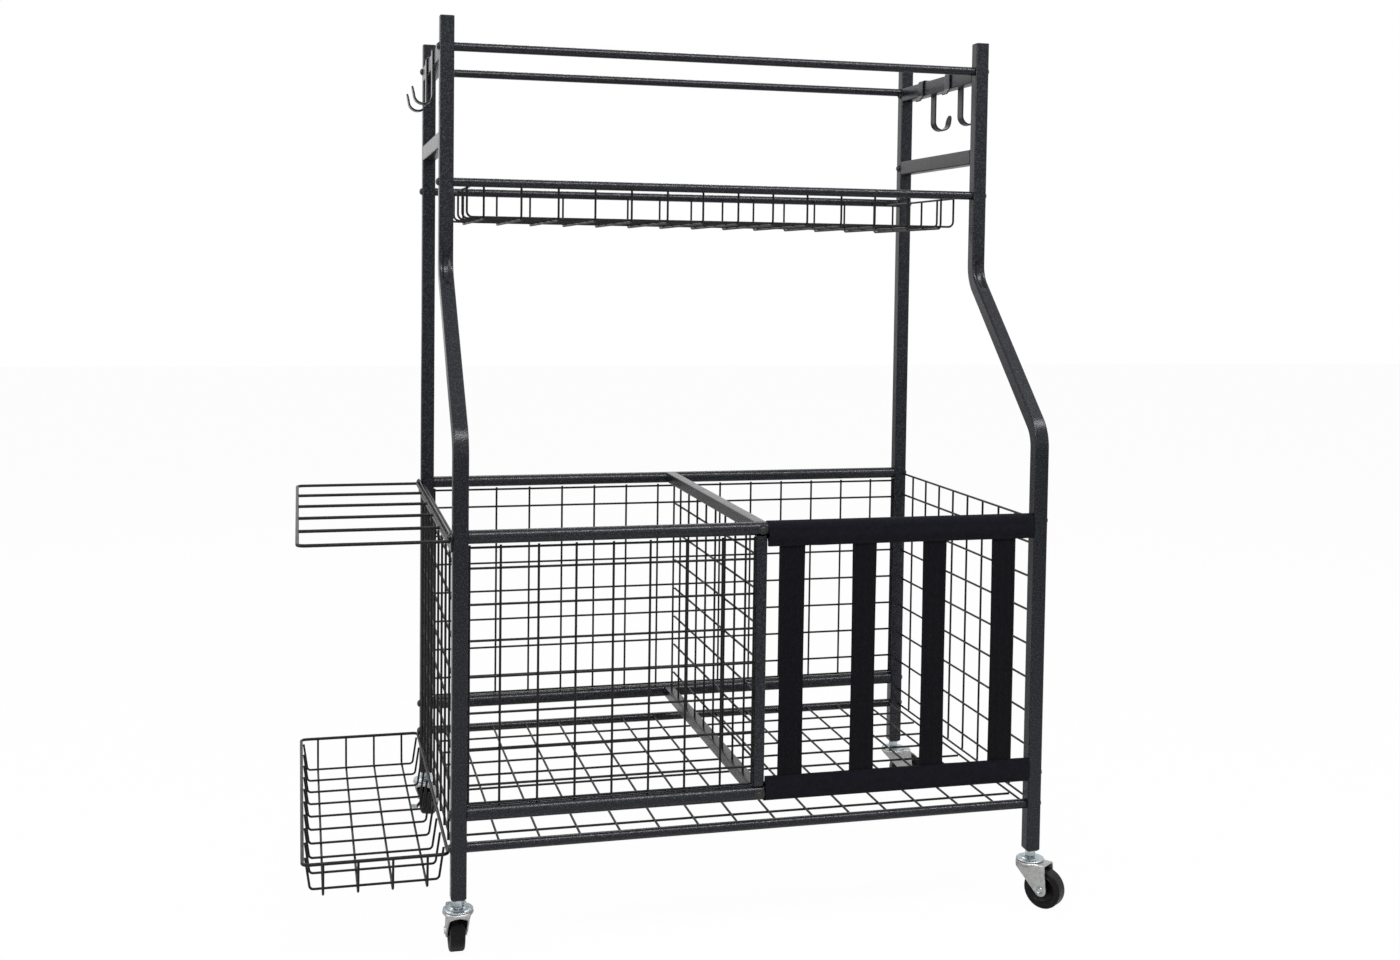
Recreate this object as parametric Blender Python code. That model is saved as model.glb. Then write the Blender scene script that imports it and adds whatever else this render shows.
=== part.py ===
"""Rolling equipment cart: a cranked tube frame on four casters, with a wire basket for balls split by a
divider, a shelf, an upper tray, a side rack, a side basket, elastic straps and sliding hooks.
Units are metres. X runs left to right, Y runs front to rear and Z is up from the floor."""

import math

import bmesh
import bpy
from mathutils import Matrix, Vector

# Pieces that touch are drawn this far apart, and bodies joined into one piece sink this deep into each other.
TOUCH = 0.0003
SINK = 0.0006

# Edges that turn by more than this many degrees stay sharp on round pieces.
SHARP_ANGLE = 40

# Posts: square tube. The rear pair is straight and the front pair is cranked back above the basket.
POST_SPAN = 1.000
LOWER_DEPTH = 0.655
UPPER_DEPTH = 0.375
POST_TUBE = 0.025
POST_WALL = 0.0015
POST_CORNER = 0.0025
POST_TOP = 1.537
CRANK_UNDER_TRAY = 0.156
CRANK_OVER_BASKET = 0.1513
CRANK_RADIUS = 0.060
CRANK_STEPS = 4
CAP_LIP = 0.002
CAP_PLUG = 0.012

# Round rails between the left and right posts: diameter, and where the centre line lies. The upper two
# pairs hang a measured way below the tops of the posts, and the lower three stand above the floor.
RAIL_WALL = 0.0012
RAIL_SIDES = 12
TOP_BAR_DROP = 0.05
TOP_BAR_DIAMETER = 0.0155
TRAY_RAIL_DROP = 0.284
TRAY_RAIL_DIAMETER = 0.0155
UPPER_RAIL_HEIGHT = 0.6777
UPPER_RAIL_DIAMETER = 0.022
LOWER_RAIL_HEIGHT = 0.233
LOWER_RAIL_DIAMETER = 0.025
SHELF_RAIL_HEIGHT = 0.178
SHELF_RAIL_DIAMETER = 0.0165

# Flat-sided bars from a front post to the rear post behind it, just under the top bars and further down.
SIDE_BAR_HEIGHT = 0.028
SIDE_BAR_WIDTH = 0.025
SIDE_BAR_CORNER = 0.002
SIDE_BAR_WALL = 0.0012
TOP_SIDE_BAR_DROP = 0.006
MID_SIDE_BAR_DROP = 0.154

# Welded wire. A square wire on its corner stands for the round one of the same area.
WIRE_DIAMETER = 0.003
ROD_DIAMETER = 0.005

# The narrowest bay left between a grid's last wire and its edge, as a share of the pitch.
LEAST_BAY = 1 / 3

# Side grids, between a front post and the rear post, near the outer faces. They reach from just below the
# axis of the upper basket rails to just below that of the shelf rails.
SIDE_GRID_INSET = 0.0025
SIDE_GRID_DROP = 0.002
SIDE_GRID_FIRST_ROW = 0.0446
SIDE_GRID_ROW_PITCH = 0.0604
SIDE_GRID_FIRST_COLUMN = 0.0423
SIDE_GRID_COLUMN_PITCH = 0.0694

# Rear and front grids, between the upper and lower basket rails.
REAR_GRID_FIRST_ROW = 0.0393
REAR_GRID_ROW_PITCH = 0.0572
REAR_GRID_FIRST_COLUMN = 0.0567
REAR_GRID_COLUMN_PITCH = 0.0665
FRONT_GRID_FIRST_ROW = 0.0377
FRONT_GRID_ROW_PITCH = 0.0583
FRONT_GRID_FIRST_COLUMN = 0.0497
FRONT_GRID_COLUMN_PITCH = 0.0611

# Shelf grid, in line with the shelf rails.
SHELF_GRID_COLUMN_PITCH = 0.0667
SHELF_GRID_FIRST_ROW = 0.0626
SHELF_GRID_ROW_PITCH = 0.0746

# Divider: a square-tube frame across the basket with its own grid.
DIVIDER_X = -0.003
DIVIDER_BAR = 0.020
DIVIDER_POST = 0.018
DIVIDER_CORNER = 0.002
DIVIDER_WALL = 0.0012
DIVIDER_GRID_REAR = 0.043
DIVIDER_GRID_FIRST_ROW = 0.040
DIVIDER_GRID_ROW_PITCH = 0.058
DIVIDER_GRID_FIRST_COLUMN = 0.057
DIVIDER_GRID_COLUMN_PITCH = 0.0675

# Tray: a shallow wire basket hung between the tray rails, with a little space to the posts at each end.
TRAY_LEFT_SPACE = 0.026
TRAY_RIGHT_SPACE = 0.0275
TRAY_RIM_DROP = 0.006
TRAY_FLOOR_DROP = 0.063
TRAY_CORNER = 0.010
TRAY_LOOP_FIRST = 0.0285
TRAY_LOOP_PITCH = 0.0664
TRAY_RUN_FIRST = 0.031
TRAY_RUN_PITCH = 0.0785

# Side rack: a flat ladder of rod outside the left posts, on a flat strip bolted to them beside the ends of
# the upper basket rails.
STRIP_THICKNESS = 0.003
STRIP_HEIGHT = 0.025
STRIP_RISE = 0.0033
STRIP_OVERHANG = 0.0115
RACK_DROP = 0.0077
RACK_REACH = 0.2307
RACK_REAR_OVERHANG = 0.005
RACK_FRONT_OVERHANG = 0.017
RACK_RUNGS = 6

# Side basket, outside the left posts beside the ends of the shelf rails.
BASKET_RIM_DROP = 0.008
BASKET_DEPTH = 0.055
BASKET_WIDTH = 0.226
BASKET_REAR_OVERHANG = 0.012
BASKET_FRONT_OVERHANG = 0.002
BASKET_TAPER = 0.012
BASKET_RIM_CORNER = 0.020
BASKET_FLOOR_CORNER = 0.012
BASKET_LOOPS = 10
BASKET_LOOP_INSET = 0.032
BASKET_RUNS = 4
BASKET_RUN_INSET = 0.032

# Hooks: flat strip bent over a top side bar, ending in an open J outside it.
HOOK_THICKNESS = 0.003
HOOK_WIDTH = 0.024
HOOK_BEND = 0.0165
HOOK_DROP = 0.084
HOOK_TIP_RISE = 0.0145
HOOK_TIP_LEAN = 0.003
HOOK_LIP_DROP = 0.010
HOOK_LIP_LEAN = 0.006
HOOK_INNER_LEG = 0.030
HOOK_STEPS = 7
HOOK_FROM_REAR = (0.120, 0.255)

# Elastic straps sewn to two fabric sleeves on the right half of the front basket rails.
SLEEVE_CLOTH = 0.0018
SLEEVE_TAIL = 0.0285
SLEEVE_TAIL_WIDTH = 0.009
SLEEVE_SIDES = 12
STRAP_WIDTH = 0.0435
STRAP_THICKNESS = 0.002
STRAP_LAP = 0.010
STRAP_COUNT = 4
STRAP_FIRST = 0.0427
STRAP_LAST = 0.0562

# Casters, from the floor up.
WHEEL_DIAMETER = 0.068
WHEEL_WIDTH = 0.025
WHEEL_TREAD_ROUND = 0.004
WHEEL_DISH = 0.004
WHEEL_DISH_DIAMETER = 0.046
HUB_DIAMETER = 0.020
HUB_LENGTH = 0.0275
AXLE_DIAMETER = 0.008
AXLE_HEAD = 0.0025
AXLE_HEAD_DIAMETER = 0.013
AXLE_HEAD_FLAT = 0.009
TRAIL = 0.0285
CHEEK_THICKNESS = 0.0025
CHEEK_END_DIAMETER = 0.022
CHEEK_END_STEPS = 7
HOOD_DIAMETER = 0.050
HOOD_REACH = 0.035
HOOD_BACK_DROP = 0.005
HOOD_RISE = 0.0075
FORK_SPACE = 0.0006
KINGPIN_DIAMETER = 0.010
KINGPIN_HEAD = 0.002
KINGPIN_HEAD_DIAMETER = 0.016
RACE_DIAMETER = 0.0485
RACE_HEIGHT = 0.0062
RACE_RIM = 0.0021
RACE_CROWN_DIAMETER = 0.033
NUT_ACROSS_FLATS = 0.017
NUT_HEIGHT = 0.010
PLUG_HEIGHT = 0.030
WHEEL_SIDES = 18
ROUND_SIDES = 16
SMALL_SIDES = 10

# Brake rocker on each rear caster: a strip with an ear at each end, hung by a web from an eye on the axle.
ROCKER_THICKNESS = 0.002
ROCKER_HEIGHT = 0.008
ROCKER_LENGTH = 0.055
ROCKER_EAR = 0.014
ROCKER_DROP = 0.012
ROCKER_EYE_DIAMETER = 0.014
ROCKER_WEB_WIDTH = 0.010

# Which way each caster trails at rest, in degrees from +X.
TRAIL_ANGLE = {"left_front": 90.0, "right_front": -54.1, "left_rear": 70.0, "right_rear": -8.0}

# Finishes: base colour, roughness and metallic value.
FINISHES = {
    "frame_coat": ((0.020, 0.023, 0.028), 0.38, 0.0),
    "wire_coat": ((0.016, 0.017, 0.019), 0.45, 0.0),
    "cap_plastic": ((0.018, 0.018, 0.019), 0.55, 0.0),
    "zinc_plate": ((0.62, 0.64, 0.66), 0.30, 1.0),
    "wheel_rubber": ((0.020, 0.020, 0.021), 0.60, 0.0),
    "strap_cloth": ((0.010, 0.011, 0.016), 0.85, 0.0),
}

# Sizes that follow from the ones above.
HALF_SPAN = POST_SPAN / 2
HALF_TUBE = POST_TUBE / 2
INNER_FACE = HALF_SPAN - HALF_TUBE
OUTER_FACE = HALF_SPAN + HALF_TUBE
AREA_MATCH = math.sqrt(math.pi / 2)
WIRE = WIRE_DIAMETER / 2 * AREA_MATCH
ROD = ROD_DIAMETER / 2 * AREA_MATCH
AXLE_HEIGHT = WHEEL_DIAMETER / 2
CHEEK_INSIDE = HUB_LENGTH / 2 + FORK_SPACE
CHEEK_OUTSIDE = CHEEK_INSIDE + CHEEK_THICKNESS
HOOD_BOTTOM = WHEEL_DIAMETER + HOOD_RISE
HOOD_TOP = HOOD_BOTTOM + CHEEK_THICKNESS
RACE_BOTTOM = HOOD_TOP + TOUCH
RACE_TOP = RACE_BOTTOM + RACE_HEIGHT
POST_BOTTOM = RACE_TOP + NUT_HEIGHT
TOP_BAR_HEIGHT = POST_TOP - TOP_BAR_DROP
TRAY_RAIL_HEIGHT = POST_TOP - TRAY_RAIL_DROP
TOP_SIDE_BAR_HEIGHT = TOP_BAR_HEIGHT - TOP_SIDE_BAR_DROP
MID_SIDE_BAR_HEIGHT = TOP_SIDE_BAR_HEIGHT - MID_SIDE_BAR_DROP
SLEEVE_LEFT = DIVIDER_X + DIVIDER_BAR / 2 + TOUCH
SLEEVE_RIGHT = INNER_FACE - TOUCH

X_AXIS = Vector((1, 0, 0))
Y_AXIS = Vector((0, 1, 0))
Z_AXIS = Vector((0, 0, 1))


def clear_scene():
    for obj in list(bpy.data.objects):
        bpy.data.objects.remove(obj)


def finish_material(name, finish):
    """The material of one piece, named after it."""
    colour, roughness, metallic = FINISHES[finish]
    material = bpy.data.materials.new(f"{name}_{finish}")
    material.use_nodes = True
    shader = material.node_tree.nodes["Principled BSDF"]
    shader.inputs["Base Color"].default_value = (*colour, 1.0)
    shader.inputs["Roughness"].default_value = roughness
    shader.inputs["Metallic"].default_value = metallic
    return material


def empty(name, parent=None, location=(0, 0, 0), turn=0.0):
    """A turning or placing axis: an empty turned about +Z by a number of degrees."""
    obj = bpy.data.objects.new(name, None)
    bpy.context.collection.objects.link(obj)
    obj.parent = parent
    obj.location = location
    obj.rotation_euler.z = math.radians(turn)
    return obj


def piece(name, mesh, finish, parent, location=(0, 0, 0)):
    """One sub-part, with its own material on its own object."""
    obj = bpy.data.objects.new(name, mesh)
    bpy.context.collection.objects.link(obj)
    obj.parent = parent
    obj.location = location
    if not mesh.materials:
        mesh.materials.append(None)
    obj.material_slots[0].link = "OBJECT"
    obj.material_slots[0].material = finish_material(name, finish)
    return obj


def mesh_of(bm, name, smooth=False):
    """A mesh from a finished bmesh, with its faces pointing out."""
    bmesh.ops.recalc_face_normals(bm, faces=bm.faces[:])
    mesh = bpy.data.meshes.new(name)
    bm.to_mesh(mesh)
    bm.free()
    if smooth:
        mesh.shade_smooth()
        mesh.set_sharp_from_angle(angle=math.radians(SHARP_ANGLE))
    return mesh


def rectangle(width, height, corner):
    """Eight points round a rectangle with its corners cut."""
    w, h, c = width / 2, height / 2, corner
    quarter = [(w, h - c), (w - c, h)]
    half = quarter + [(-x, y) for x, y in reversed(quarter)]
    return half + [(-x, -y) for x, y in half]


def strip_section(thickness, width):
    t, w = thickness / 2, width / 2
    return [(t, -w), (t, w), (-t, w), (-t, -w)]


def circle(diameter, sides):
    angles = [math.tau * k / sides for k in range(sides)]
    return [(diameter / 2 * math.cos(a), diameter / 2 * math.sin(a)) for a in angles]


def stations(path, across):
    """Where a section stands along a path: its point, its own first axis and its second, which is across.
    The first axis is longer at a bend, so that the section keeps its width there."""
    found = []
    for k, point in enumerate(path):
        before = (point - path[k - 1]).normalized() if k else None
        after = (path[k + 1] - point).normalized() if k + 1 < len(path) else None
        before = before or after
        after = after or before
        side = across.cross(before + after).normalized()
        stretch = 1 / side.dot(across.cross(after).normalized())
        found.append((point, side * stretch, across))
    return found


def ring(bm, station, loop):
    origin, first, second = station
    return [bm.verts.new(origin + first * x + second * y) for x, y in loop]


def bridge(bm, one, other):
    """Four-sided faces between two rings of as many points."""
    count = len(one)
    for k in range(count):
        bm.faces.new((one[k], one[(k + 1) % count], other[(k + 1) % count], other[k]))


def solid_run(path, across, loop, name, smooth=False):
    """A closed bar of one section along a path."""
    bm = bmesh.new()
    rings = [ring(bm, station, loop) for station in stations(path, across)]
    for one, other in zip(rings, rings[1:]):
        bridge(bm, one, other)
    bm.faces.new(rings[0])
    bm.faces.new(rings[-1])
    return mesh_of(bm, name, smooth)


def tube_run(path, across, outer, inner, name, smooth=False):
    """A hollow bar along a path, open at both ends, from an outer and an inner section."""
    bm = bmesh.new()
    places = stations(path, across)
    skins = [[ring(bm, place, loop) for place in places] for loop in (outer, inner)]
    for skin in skins:
        for one, other in zip(skin, skin[1:]):
            bridge(bm, one, other)
    for end in (0, -1):
        bridge(bm, skins[0][end], skins[1][end])
    return mesh_of(bm, name, smooth)


def square_tube(path, across, width, height, corner, wall, name):
    outer = rectangle(width, height, corner)
    inner = rectangle(width - 2 * wall, height - 2 * wall, max(corner - wall / 2, corner / 2))
    return tube_run(path, across, outer, inner, name)


def turned(profile, sides, name, along=Z_AXIS):
    """A body turned about an axis through the origin, from (radius, height) points round its outline.
    A point on the axis has radius 0; with none there, the outline closes round a bore."""
    bm = bmesh.new()
    rings = []
    for radius, height in profile:
        if radius == 0:
            rings.append([bm.verts.new((0, 0, height))])
        else:
            rings.append([bm.verts.new((x, y, height)) for x, y in circle(2 * radius, sides)])
    pairs = list(zip(rings, rings[1:]))
    if profile[0][0] and profile[-1][0]:
        pairs.append((rings[-1], rings[0]))
    for one, other in pairs:
        if len(one) == len(other):
            bridge(bm, one, other)
            continue
        tip, rim = (one, other) if len(one) == 1 else (other, one)
        for k in range(sides):
            bm.faces.new((tip[0], rim[k], rim[(k + 1) % sides]))
    bm.transform(Z_AXIS.rotation_difference(along).to_matrix().to_4x4())
    return mesh_of(bm, name, smooth=True)


def combined(name, meshes, operation="UNION"):
    """The first mesh joined with the others, or cut by them, as one new mesh."""
    helpers = [bpy.data.objects.new(f"{name}_helper", mesh) for mesh in meshes]
    for helper in helpers:
        bpy.context.collection.objects.link(helper)
    for other in helpers[1:]:
        modifier = helpers[0].modifiers.new("combine", "BOOLEAN")
        modifier.operation = operation
        modifier.object = other
    graph = bpy.context.evaluated_depsgraph_get()
    mesh = bpy.data.meshes.new_from_object(helpers[0].evaluated_get(graph))
    mesh.name = name
    mesh.materials.clear()
    for helper in helpers:
        bpy.data.objects.remove(helper)
    return mesh


def marks(start, stop, pitch):
    """Places from start, one pitch apart, that leave at least the narrowest bay before stop."""
    count = int((abs(stop - start) - pitch * LEAST_BAY) // pitch) + 1
    way = math.copysign(pitch, stop - start)
    return [start + way * k for k in range(count)]


class Net:
    """Wires that cross in one sheet, flat or bent, as one closed body. A joint of the net has a point, the
    direction of each of its two wires and half the wire's width over its corners."""

    def __init__(self):
        self.joints = {}
        self.links = []

    def joint(self, key, point, first, second, reach=WIRE):
        first = Vector(first).normalized()
        second = Vector(second).normalized()
        self.joints[key] = (Vector(point), first, second, reach)

    def link(self, *keys):
        """A wire through these joints, one after another."""
        self.links += list(zip(keys, keys[1:]))

    def side_towards(self, key, target):
        """Which of a joint's four sides faces a point: 0 and 1 for its first wire, 2 and 3 for its second."""
        point, first, second, _ = self.joints[key]
        away = target - point
        reaches = (away.dot(first), -away.dot(first), away.dot(second), -away.dot(second))
        return reaches.index(max(reaches))

    def mesh(self, name):
        bm = bmesh.new()
        used = {key: set() for key in self.joints}
        ends = []
        for one, other in self.links:
            here = self.side_towards(one, self.joints[other][0])
            there = self.side_towards(other, self.joints[one][0])
            used[one].add(here)
            used[other].add(there)
            ends.append((one, here, other, there))
        made = {key: self.corners(bm, key, used[key]) for key in self.joints}
        for one, here, other, there in ends:
            self.wire(bm, made[one], here, made[other], there)
        for key, sides in used.items():
            ridge, foot, edges = made[key]
            for side in set(edges) - sides:
                left, right = edges[side]
                bm.faces.new((ridge, left, right))
                bm.faces.new((foot, left, right))
        return mesh_of(bm, name)

    def corners(self, bm, key, sides):
        """The ridge and foot of a joint, and for each side the two points where its wire starts."""
        point, first, second, reach = self.joints[key]
        normal = first.cross(second).normalized()
        ridge = bm.verts.new(point + normal * reach)
        foot = bm.verts.new(point - normal * reach)
        along_first = bool(sides & {0, 1})
        along_second = bool(sides & {2, 3})
        if along_first and along_second:
            at = {}
            for a in (1, -1):
                for b in (1, -1):
                    at[a, b] = bm.verts.new(point + (first * a + second * b) * reach)
            edges = {
                0: (at[1, 1], at[1, -1]),
                1: (at[-1, 1], at[-1, -1]),
                2: (at[1, 1], at[-1, 1]),
                3: (at[1, -1], at[-1, -1]),
            }
            return ridge, foot, edges
        sideways = second if along_first else first
        pair = (bm.verts.new(point + sideways * reach), bm.verts.new(point - sideways * reach))
        edges = {side: pair for side in ((0, 1) if along_first else (2, 3))}
        return ridge, foot, edges

    def wire(self, bm, one, here, other, there):
        """The four faces of the wire between two joints, without a twist."""
        ridge, foot, edges = one
        left, right = edges[here]
        far_ridge, far_foot, far_edges = other
        far_left, far_right = far_edges[there]
        if (left.co - right.co).dot(far_left.co - far_right.co) < 0:
            far_left, far_right = far_right, far_left
        if (ridge.co - foot.co).dot(far_ridge.co - far_foot.co) < 0:
            far_ridge, far_foot = far_foot, far_ridge
        round_one = (ridge, left, foot, right)
        round_other = (far_ridge, far_left, far_foot, far_right)
        bridge(bm, round_one, round_other)


def flat_net(columns, rows, place, name, open_columns=False):
    """A flat grid. place turns a column and a row value into a point. With open columns, the outermost column
    values are only wire ends, and no wire runs along those edges."""
    net = Net()
    first = place(1, 0) - place(0, 0)
    second = place(0, 1) - place(0, 0)
    for column in columns:
        for row in rows:
            net.joint((column, row), place(column, row), first, second)
    for column in columns[1:-1] if open_columns else columns:
        net.link(*[(column, row) for row in rows])
    for row in rows:
        net.link(*[(column, row) for column in columns])
    return net.mesh(name)


def bending(near, far):
    """The direction of a bent wire's section about a third of the way from one axis to the next."""
    return near * 2 + far


def crank_path():
    """Centre line of a front post from the bottom up, in the plane X = 0."""
    low = Vector((0, -LOWER_DEPTH, UPPER_RAIL_HEIGHT + CRANK_OVER_BASKET))
    high = Vector((0, -UPPER_DEPTH, TRAY_RAIL_HEIGHT - CRANK_UNDER_TRAY))
    slant = (high - low).normalized()
    turn = Z_AXIS.angle(slant)
    tangent = CRANK_RADIUS * math.tan(turn / 2)
    path = [Vector((0, -LOWER_DEPTH, POST_BOTTOM))]
    for corner, arrive, leave in ((low, Z_AXIS, slant), (high, slant, Z_AXIS)):
        start = corner - arrive * tangent
        inward = (leave - arrive * leave.dot(arrive)).normalized()
        for k in range(CRANK_STEPS + 1):
            angle = turn * k / CRANK_STEPS
            path.append(start + (arrive * math.sin(angle) + inward * (1 - math.cos(angle))) * CRANK_RADIUS)
    path.append(Vector((0, -UPPER_DEPTH, POST_TOP)))
    return path


def make_posts(cart):
    straight = [Vector((0, 0, POST_BOTTOM)), Vector((0, 0, POST_TOP))]
    section = (POST_TUBE, POST_TUBE, POST_CORNER, POST_WALL)
    front = square_tube(crank_path(), X_AXIS, *section, "front_post")
    rear = square_tube(straight, X_AXIS, *section, "rear_post")
    cap = cap_mesh()
    for side, x in (("left", -HALF_SPAN), ("right", HALF_SPAN)):
        piece(f"post_{side}_front", front, "frame_coat", cart, (x, 0, 0))
        piece(f"post_{side}_rear", rear, "frame_coat", cart, (x, 0, 0))
        piece(f"cap_{side}_front", cap, "cap_plastic", cart, (x, -UPPER_DEPTH, POST_TOP + TOUCH))
        piece(f"cap_{side}_rear", cap, "cap_plastic", cart, (x, 0, POST_TOP + TOUCH))


def cap_mesh():
    """A plastic cap: a square plug in the tube under a lip as wide as the tube."""
    bore = POST_TUBE - 2 * POST_WALL - 2 * TOUCH
    plug = rectangle(bore, bore, POST_CORNER)
    lip = rectangle(POST_TUBE, POST_TUBE, POST_CORNER)
    levels = [(plug, -CAP_PLUG), (plug, 0), (lip, 0), (lip, CAP_LIP)]
    bm = bmesh.new()
    rings = [ring(bm, (Z_AXIS * height, X_AXIS, Y_AXIS), loop) for loop, height in levels]
    for one, other in zip(rings, rings[1:]):
        bridge(bm, one, other)
    bm.faces.new(rings[0])
    bm.faces.new(rings[-1])
    return mesh_of(bm, "cap")


def make_rails(cart):
    """The round rails, which butt against the inner faces of the posts."""
    reach = INNER_FACE - TOUCH
    rails = (
        ("top_bar", TOP_BAR_HEIGHT, TOP_BAR_DIAMETER, UPPER_DEPTH),
        ("tray_rail", TRAY_RAIL_HEIGHT, TRAY_RAIL_DIAMETER, UPPER_DEPTH),
        ("upper_rail", UPPER_RAIL_HEIGHT, UPPER_RAIL_DIAMETER, LOWER_DEPTH),
        ("lower_rail", LOWER_RAIL_HEIGHT, LOWER_RAIL_DIAMETER, LOWER_DEPTH),
        ("shelf_rail", SHELF_RAIL_HEIGHT, SHELF_RAIL_DIAMETER, LOWER_DEPTH),
    )
    for name, height, diameter, depth in rails:
        path = [X_AXIS * -reach, X_AXIS * reach]
        outer = circle(diameter, RAIL_SIDES)
        inner = circle(diameter - 2 * RAIL_WALL, RAIL_SIDES)
        mesh = tube_run(path, Z_AXIS, outer, inner, name, smooth=True)
        piece(f"{name}_rear", mesh, "frame_coat", cart, (0, 0, height))
        piece(f"{name}_front", mesh, "frame_coat", cart, (0, -depth, height))


def make_side_bars(cart):
    front = -UPPER_DEPTH + HALF_TUBE + TOUCH
    rear = -HALF_TUBE - TOUCH
    path = [Y_AXIS * front, Y_AXIS * rear]
    section = (SIDE_BAR_WIDTH, SIDE_BAR_HEIGHT, SIDE_BAR_CORNER, SIDE_BAR_WALL)
    mesh = square_tube(path, Z_AXIS, *section, "side_bar")
    for side, x in (("left", -HALF_SPAN), ("right", HALF_SPAN)):
        piece(f"top_side_bar_{side}", mesh, "frame_coat", cart, (x, 0, TOP_SIDE_BAR_HEIGHT))
        piece(f"mid_side_bar_{side}", mesh, "frame_coat", cart, (x, 0, MID_SIDE_BAR_HEIGHT))


def make_side_grids(cart):
    rear = -HALF_TUBE - TOUCH
    front = -LOWER_DEPTH + HALF_TUBE + TOUCH
    columns = [rear] + marks(rear - SIDE_GRID_FIRST_COLUMN, front, SIDE_GRID_COLUMN_PITCH) + [front]
    top, bottom = UPPER_RAIL_HEIGHT - SIDE_GRID_DROP, SHELF_RAIL_HEIGHT - SIDE_GRID_DROP
    rows = [top] + marks(top - SIDE_GRID_FIRST_ROW, bottom, SIDE_GRID_ROW_PITCH) + [bottom]
    mesh = flat_net(columns, rows, lambda y, z: Vector((0, y, z)), "side_grid", open_columns=True)
    x = OUTER_FACE - SIDE_GRID_INSET
    piece("side_grid_left", mesh, "wire_coat", cart, (-x, 0, 0))
    piece("side_grid_right", mesh, "wire_coat", cart, (x, 0, 0))


def basket_rows(first, pitch):
    """Heights of the wires of a grid that hangs under an upper rail and stands on a lower rail."""
    top = UPPER_RAIL_HEIGHT - UPPER_RAIL_DIAMETER / 2 - TOUCH - WIRE
    bottom = LOWER_RAIL_HEIGHT + LOWER_RAIL_DIAMETER / 2 + TOUCH + WIRE
    return [top] + marks(top - first, bottom, pitch) + [bottom]


def upright(x, z):
    return Vector((x, 0, z))


def make_rear_grid(cart):
    edge = INNER_FACE - TOUCH - WIRE
    columns = [-edge] + marks(-edge + REAR_GRID_FIRST_COLUMN, edge, REAR_GRID_COLUMN_PITCH) + [edge]
    rows = basket_rows(REAR_GRID_FIRST_ROW, REAR_GRID_ROW_PITCH)
    piece("rear_grid", flat_net(columns, rows, upright, "rear_grid"), "wire_coat", cart)


def make_front_grid(cart):
    left = -(INNER_FACE - TOUCH - WIRE)
    right = DIVIDER_X - DIVIDER_POST / 2 - TOUCH - WIRE
    columns = [left] + marks(left + FRONT_GRID_FIRST_COLUMN, right, FRONT_GRID_COLUMN_PITCH) + [right]
    rows = basket_rows(FRONT_GRID_FIRST_ROW, FRONT_GRID_ROW_PITCH)
    mesh = flat_net(columns, rows, upright, "front_grid")
    piece("front_grid", mesh, "wire_coat", cart, (0, -LOWER_DEPTH, 0))


def make_shelf_grid(cart):
    edge = INNER_FACE - TOUCH - WIRE
    half = marks(SHELF_GRID_COLUMN_PITCH / 2, edge, SHELF_GRID_COLUMN_PITCH)
    columns = [-edge] + [-x for x in reversed(half)] + half + [edge]
    rear = -(SHELF_RAIL_DIAMETER / 2 + TOUCH + WIRE)
    front = -LOWER_DEPTH - rear
    rows = [rear] + marks(rear - SHELF_GRID_FIRST_ROW, front, SHELF_GRID_ROW_PITCH) + [front]
    mesh = flat_net(columns, rows, lambda x, y: Vector((x, y, 0)), "shelf_grid")
    piece("shelf_grid", mesh, "wire_coat", cart, (0, 0, SHELF_RAIL_HEIGHT))


def make_divider(cart):
    """Top and bottom bars between the front and rear rails, a front post, and the grid between them."""
    top_reach = UPPER_RAIL_DIAMETER / 2 + TOUCH
    low_reach = LOWER_RAIL_DIAMETER / 2 + TOUCH
    top_height = UPPER_RAIL_HEIGHT + UPPER_RAIL_DIAMETER / 2 - DIVIDER_BAR / 2
    section = (DIVIDER_BAR, DIVIDER_BAR, DIVIDER_CORNER, DIVIDER_WALL)
    for name, reach, height in (
        ("divider_top_bar", top_reach, top_height),
        ("divider_bottom_bar", low_reach, LOWER_RAIL_HEIGHT),
    ):
        path = [Y_AXIS * (-LOWER_DEPTH + reach), Y_AXIS * -reach]
        piece(name, square_tube(path, Z_AXIS, *section, name), "frame_coat", cart, (DIVIDER_X, 0, height))
    section = (DIVIDER_POST, DIVIDER_POST, DIVIDER_CORNER, DIVIDER_WALL)
    path = [Z_AXIS * (LOWER_RAIL_HEIGHT + low_reach), Z_AXIS * (UPPER_RAIL_HEIGHT - top_reach)]
    mesh = square_tube(path, X_AXIS, *section, "divider_post")
    piece("divider_post", mesh, "frame_coat", cart, (DIVIDER_X, -LOWER_DEPTH, 0))

    front = -LOWER_DEPTH + DIVIDER_POST / 2 + TOUCH
    rear = -DIVIDER_GRID_REAR
    columns = [rear] + marks(rear - DIVIDER_GRID_FIRST_COLUMN, front, DIVIDER_GRID_COLUMN_PITCH) + [front]
    top = top_height - DIVIDER_BAR / 2 - TOUCH
    bottom = LOWER_RAIL_HEIGHT + DIVIDER_BAR / 2 + TOUCH
    rows = [top] + marks(top - DIVIDER_GRID_FIRST_ROW, bottom, DIVIDER_GRID_ROW_PITCH) + [bottom]
    net = Net()
    for column in columns:
        for row in rows[1:-1] if column == front else rows:
            net.joint((column, row), (0, column, row), Y_AXIS, Z_AXIS)
    for column in columns[:-1]:
        net.link(*[(column, row) for row in rows])
    for row in rows[1:-1]:
        net.link(*[(column, row) for column in columns])
    piece("divider_grid", net.mesh("divider_grid"), "wire_coat", cart, (DIVIDER_X, 0, 0))


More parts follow.
